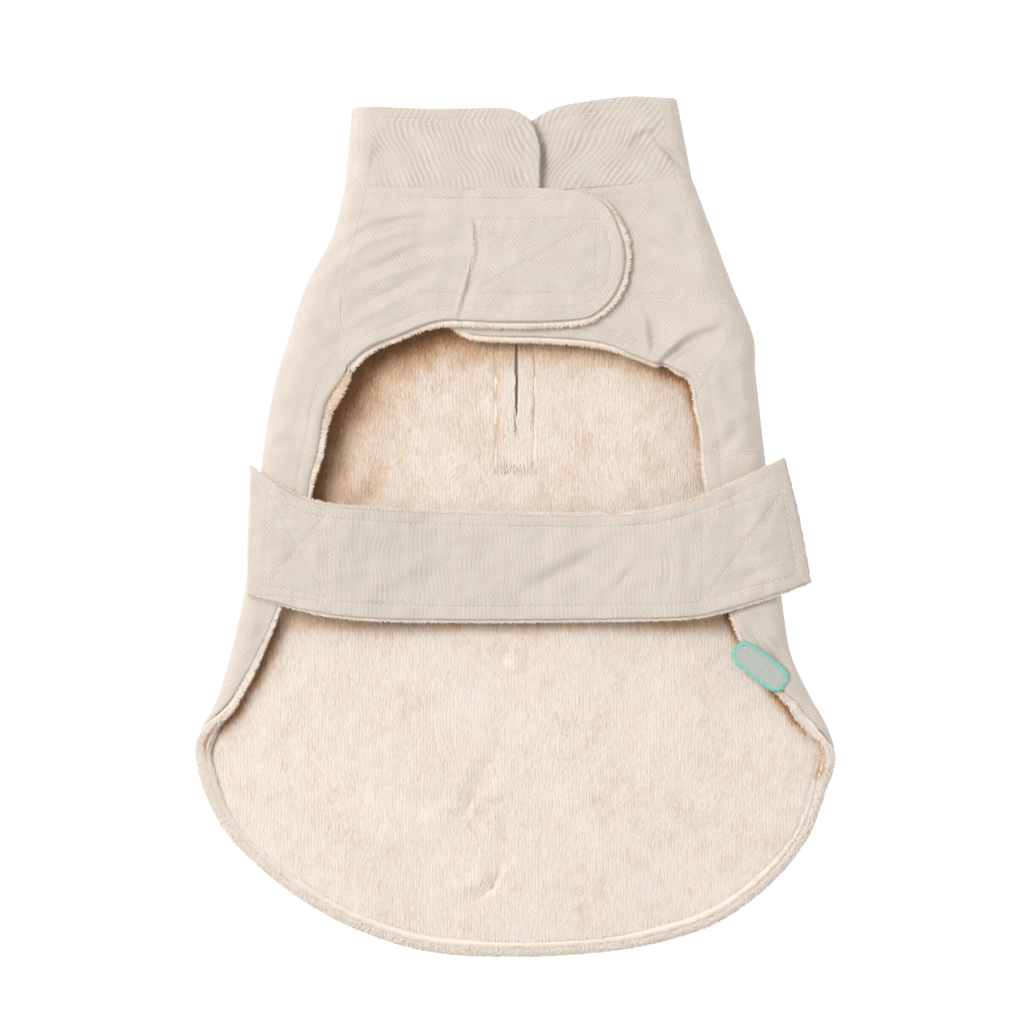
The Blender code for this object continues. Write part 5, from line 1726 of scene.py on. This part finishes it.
def make_hem_pile():
    """Pile round the lining's puffed hem: up its inner face and over its edge."""
    random = np.random.default_rng(76)
    shares = random.uniform(0.0, 1.0, HEM_STRANDS)
    edge = EDGE_COURSE.between("left_curl", "right_curl", shares)
    radius = 0.5 * (LINING + lining_puff(edge[:, TURN]))
    length = edge_length(edge) + fleece_proud(edge) - radius
    round_share = random.uniform(0.0, 1.0, HEM_STRANDS)
    inner = round_share < HEM_INNER
    course = np.where(inner, mix(-0.8, length, round_share / HEM_INNER), length)
    over_edge = (round_share - HEM_INNER) / (1.0 - HEM_INNER)
    angle = np.where(inner, 0.5 * math.pi, math.pi * mix(0.5, -0.45, over_edge))
    depth = BODY_WALL - radius
    middle = edge_point(edge, course, depth)
    high = unit(edge_point(edge, course, BODY_WALL) - edge_point(edge, course, SHELL + GAP))
    out = unit(edge_point(edge, course + 0.3, depth) - edge_point(edge, course - 0.3, depth))
    sin = np.sin(angle)[:, None]
    cos = np.cos(angle)[:, None]
    normals = high * sin + out * cos
    round_way = out * sin - high * cos
    raised = hem_roll(course, edge[:, TURN]) * smoothstep((length - course) / 1.5 + 0.3) * inner
    roots = middle + normals * (0.97 * radius)[:, None] + high * raised[:, None]
    swing = random.normal(0.0, 0.2, (HEM_STRANDS, 3))
    along_wall = np.where(inner, 0.25, 0.8)[:, None]
    ways = unit(round_way * along_wall + combed(roots[:, 0], roots[:, 1]) * 0.8 + swing)
    way = np.radians(edge[:, WAY])
    # The hem's pile is painted a little lighter (0.06) as painted light on the roll; strands that face inward
    # where the hem curls over get painted shade (fold).
    facing_in = -normals[:, 0] * np.cos(way) - normals[:, 1] * np.sin(way)
    fold = curled(edge[:, TURN]) * smoothstep((facing_in - 0.45) / 0.4)
    tones = 0.05 * ripple(roots[:, 0], roots[:, 1], 8.0, 77) + 0.06 - 0.3 * fold
    lie = unit(mix(normals, np.array((0.0, 0.0, 1.0)), 0.6))
    return make_pile("hem_pile", roots, lie, ways, random, FLEECE, length=2.4, width=0.62, lift=12.0,
                     tones=tones, upright=0.6)


def make_tapes():
    """Hook tapes under the left chest flap and under the band's right end."""
    chest = chest_tape_plan()
    belly = belly_tape_plan()
    for name, plan, top in (("chest_hook_tape", chest, left_flap_top(*chest) - BODY_WALL - GAP),
                            ("belly_hook_tape", belly, band_underside(*belly) - GAP)):
        x, y = plan
        upper = np.dstack((x, y, top))
        lower = upper - np.array((0.0, 0.0, TAPE))
        hooks = 0.16 * np.sin(x * TURN_ROUND / 2.1) * np.sin(y * TURN_ROUND / 2.1)
        piece = make_grid_cloth(name + "_hooks", lower, upper, inside_distance(upper, ALL_SIDES), hooks,
                                np.dstack(plan), HOOK_TAPE)
        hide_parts(name)


def chest_tape_plan():
    """Plan grid of the chest tape."""
    (x0, y0), (x1, y1) = CHEST_TAPE
    return np.meshgrid(np.linspace(x0, x1, TAPE_COLUMNS), np.linspace(y0, y1, TAPE_ROWS))


def belly_tape_plan():
    """Plan grid of the belly tape, inside the band's right end."""
    upper, _, lower, _ = band_sides(0.0, 0.0)
    across = mix(*BELLY_TAPE_ACROSS, np.linspace(0.0, 1.0, TAPE_COLUMNS))
    down = mix(*BELLY_TAPE_DOWN, np.linspace(0.0, 1.0, TAPE_ROWS))
    grid = mix(whole_side(upper, across)[None], whole_side(lower, 1.0 - across)[None], down[:, None, None])
    return grid[..., 0], grid[..., 1]


def make_tab():
    """Plain rounded felt tab with an overlocked edge."""
    turn = math.radians(TAB_TURN)
    lengthwise = np.array((math.cos(turn), math.sin(turn)))
    crosswise = np.array((-math.sin(turn), math.cos(turn)))
    ahead, aside = np.meshgrid(np.linspace(0.0, 1.0, 60), np.linspace(0.0, 1.0, 34))
    ahead = np.sin(math.pi * (ahead - 0.5))
    aside = np.sin(math.pi * (aside - 0.5))
    round_end = np.sqrt(1.0 - TAB_ROUNDING * np.abs(ahead) ** 5)
    along = (ahead * TAB_LENGTH / 2.0)[..., None] * lengthwise
    across = (aside * round_end * TAB_WIDTH / 2.0)[..., None] * crosswise
    plan = np.array(TAB_CENTRE) + along + across
    low = np.dstack((plan, tab_floor(plan[..., 1])))
    high = low + np.array((0.0, 0.0, TAB))
    relief = 0.12 * ripple(plan[..., 0], plan[..., 1], 2.0, 81)
    felt = make_grid_cloth("tab_felt", high, low, inside_distance(low, ALL_SIDES), relief, plan, FELT)
    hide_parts("edge_tab")
    rim = np.concatenate((plan[0], plan[1:, -1], plan[-1, -2::-1], plan[-2:0:-1, 0]))
    make_overlock(rim, plan.reshape(-1, 2).mean(axis=0))


def make_overlock(rim, centre):
    """Close whipped stitches round the tab's edge, a little uneven."""
    places, headings = walk(np.concatenate((rim, rim[:1])), WHIP_PITCH)
    inward = unit(centre - places)
    across = np.stack((headings[:, 1], -headings[:, 0]), axis=1)
    across *= np.sign(np.sum(across * inward, axis=1, keepdims=True))
    random = np.random.default_rng(82)
    bend = np.linspace(-0.15, 1.1, 7) * math.pi
    corners = TURN_ROUND * np.arange(6) / 6
    points = []
    for place, heading, way in zip(places, headings, across):
        base = float(tab_floor(np.array(place[1]))) + 0.5 * TAB
        reach = random.uniform(0.9, 1.45)
        slant = random.uniform(-0.15, 0.35)
        for turn in bend:
            out = 0.4 - reach * math.sin(turn)
            lie = 0.72 * math.cos(turn)
            middle = place + way * out + heading * slant * turn
            for corner in corners:
                thick = 0.16 * math.sin(corner)
                spread = heading * (WHIP_WIDTH * math.cos(corner)) - way * (thick * math.sin(turn))
                points.append((*(middle + spread), base + lie + thick * math.cos(turn)))
    ring = len(corners)
    near = np.arange(ring)
    step = (near + 1) % ring
    span = np.stack((near, step, step + ring, near + ring), axis=1)
    spans = [span + ring * (index + stitch * len(bend)) for stitch in range(len(places))
             for index in range(len(bend) - 1)]
    piece = new_mesh("tab_overlock", np.array(points), np.concatenate(spans), TEAL)


def tab_floor(y):
    """Height just above the turned edge at a given y, near the tab."""
    rows = [EDGE_COURSE.places.index(place) for place in ("right_curl", "right_turned", "right_band_end")]
    edge = EDGE_COURSE.table[rows]
    ends = edge_point(edge, edge_length(edge), 0.0)
    return spline(ends[:, 1], ends[:, 2:], y)[..., 0] + TAB_CLEARANCE


def make_floor():
    """Plain pale floor."""
    bpy.ops.mesh.primitive_plane_add(size=8.0)
    floor = bpy.context.object
    floor.name = "floor"
    floor.location.z = -0.0002
    look = bpy.data.materials.new("floor")
    look.use_nodes = True
    shader = look.node_tree.nodes["Principled BSDF"]
    shader.inputs["Base Color"].default_value = (0.93, 0.93, 0.93, 1.0)
    shader.inputs["Roughness"].default_value = 0.9
    shader.inputs["Specular IOR Level"].default_value = 0.1
    shader.inputs["Emission Color"].default_value = (1.0, 1.0, 1.0, 1.0)
    add_glow(look.node_tree, shader)
    floor.data.materials.append(look)


def add_glow(tree, shader):
    """Light from below, as on a light table, but none under the slit."""
    place = tree.nodes.new("ShaderNodeNewGeometry")
    away = tree.nodes.new("ShaderNodeVectorMath")
    away.operation = "DISTANCE"
    away.inputs[1].default_value = (SLIT_X * METRES, sum(SLIT_Y) / 2.0 * METRES, 0.0)
    glow = tree.nodes.new("ShaderNodeMapRange")
    glow.inputs["From Min"].default_value = 0.045
    glow.inputs["From Max"].default_value = 0.06
    glow.inputs["To Max"].default_value = FLOOR_GLOW
    tree.links.new(place.outputs["Position"], away.inputs[0])
    tree.links.new(away.outputs["Value"], glow.inputs["Value"])
    tree.links.new(glow.outputs[0], shader.inputs["Emission Strength"])


def make_light():
    """Soft studio light: a broad key from the upper left and a pale sky all round."""
    world = bpy.data.worlds.new("studio")
    world.use_nodes = True
    world.node_tree.nodes["Background"].inputs["Color"].default_value = (1.0, 0.99, 0.972, 1.0)
    world.node_tree.nodes["Background"].inputs["Strength"].default_value = 0.74
    bpy.context.scene.world = world
    lamp = bpy.data.lights.new("key", "AREA")
    lamp.shape = "DISK"
    lamp.size = 1.1
    lamp.energy = 38.5
    lamp.color = (1.0, 0.985, 0.96)
    key = bpy.data.objects.new("key", lamp)
    key.location = (-1.0, 0.6, 2.05)
    key.rotation_euler = (-key.location).to_track_quat("-Z", "Y").to_euler()
    bpy.context.scene.collection.objects.link(key)


def make_camera():
    """Camera straight above the coat, its top toward the collar."""
    lens = bpy.data.cameras.new("camera")
    lens.sensor_width = SENSOR
    lens.lens = SENSOR * (CAMERA_HEIGHT - FRAME_PLANE) / FRAME_WIDTH
    lens.clip_end = 50.0
    camera = bpy.data.objects.new("camera", lens)
    camera.location = Vector((CAMERA_X, CAMERA_Y, CAMERA_HEIGHT)) * METRES
    bpy.context.scene.collection.objects.link(camera)
    bpy.context.scene.camera = camera


# Kind of row for a table of the sheets that the coat is cut from, which is not built here: width and
# length of the rectangle that each one needs and its own area, how it is held, what it lies on, and the sewing
# and pile that go with it.
Cut = namedtuple("Cut", "piece width length area held rests_on going")


def main():
    """Build the coat, its light and its camera."""
    bpy.context.scene.view_settings.view_transform = "Standard"
    make_camera()
    make_light()
    make_floor()
    make_back_twill()
    make_back_fleece()
    make_chest()
    make_collar()
    make_band()
    make_tapes()
    make_tab()
    make_all_pile()


main()
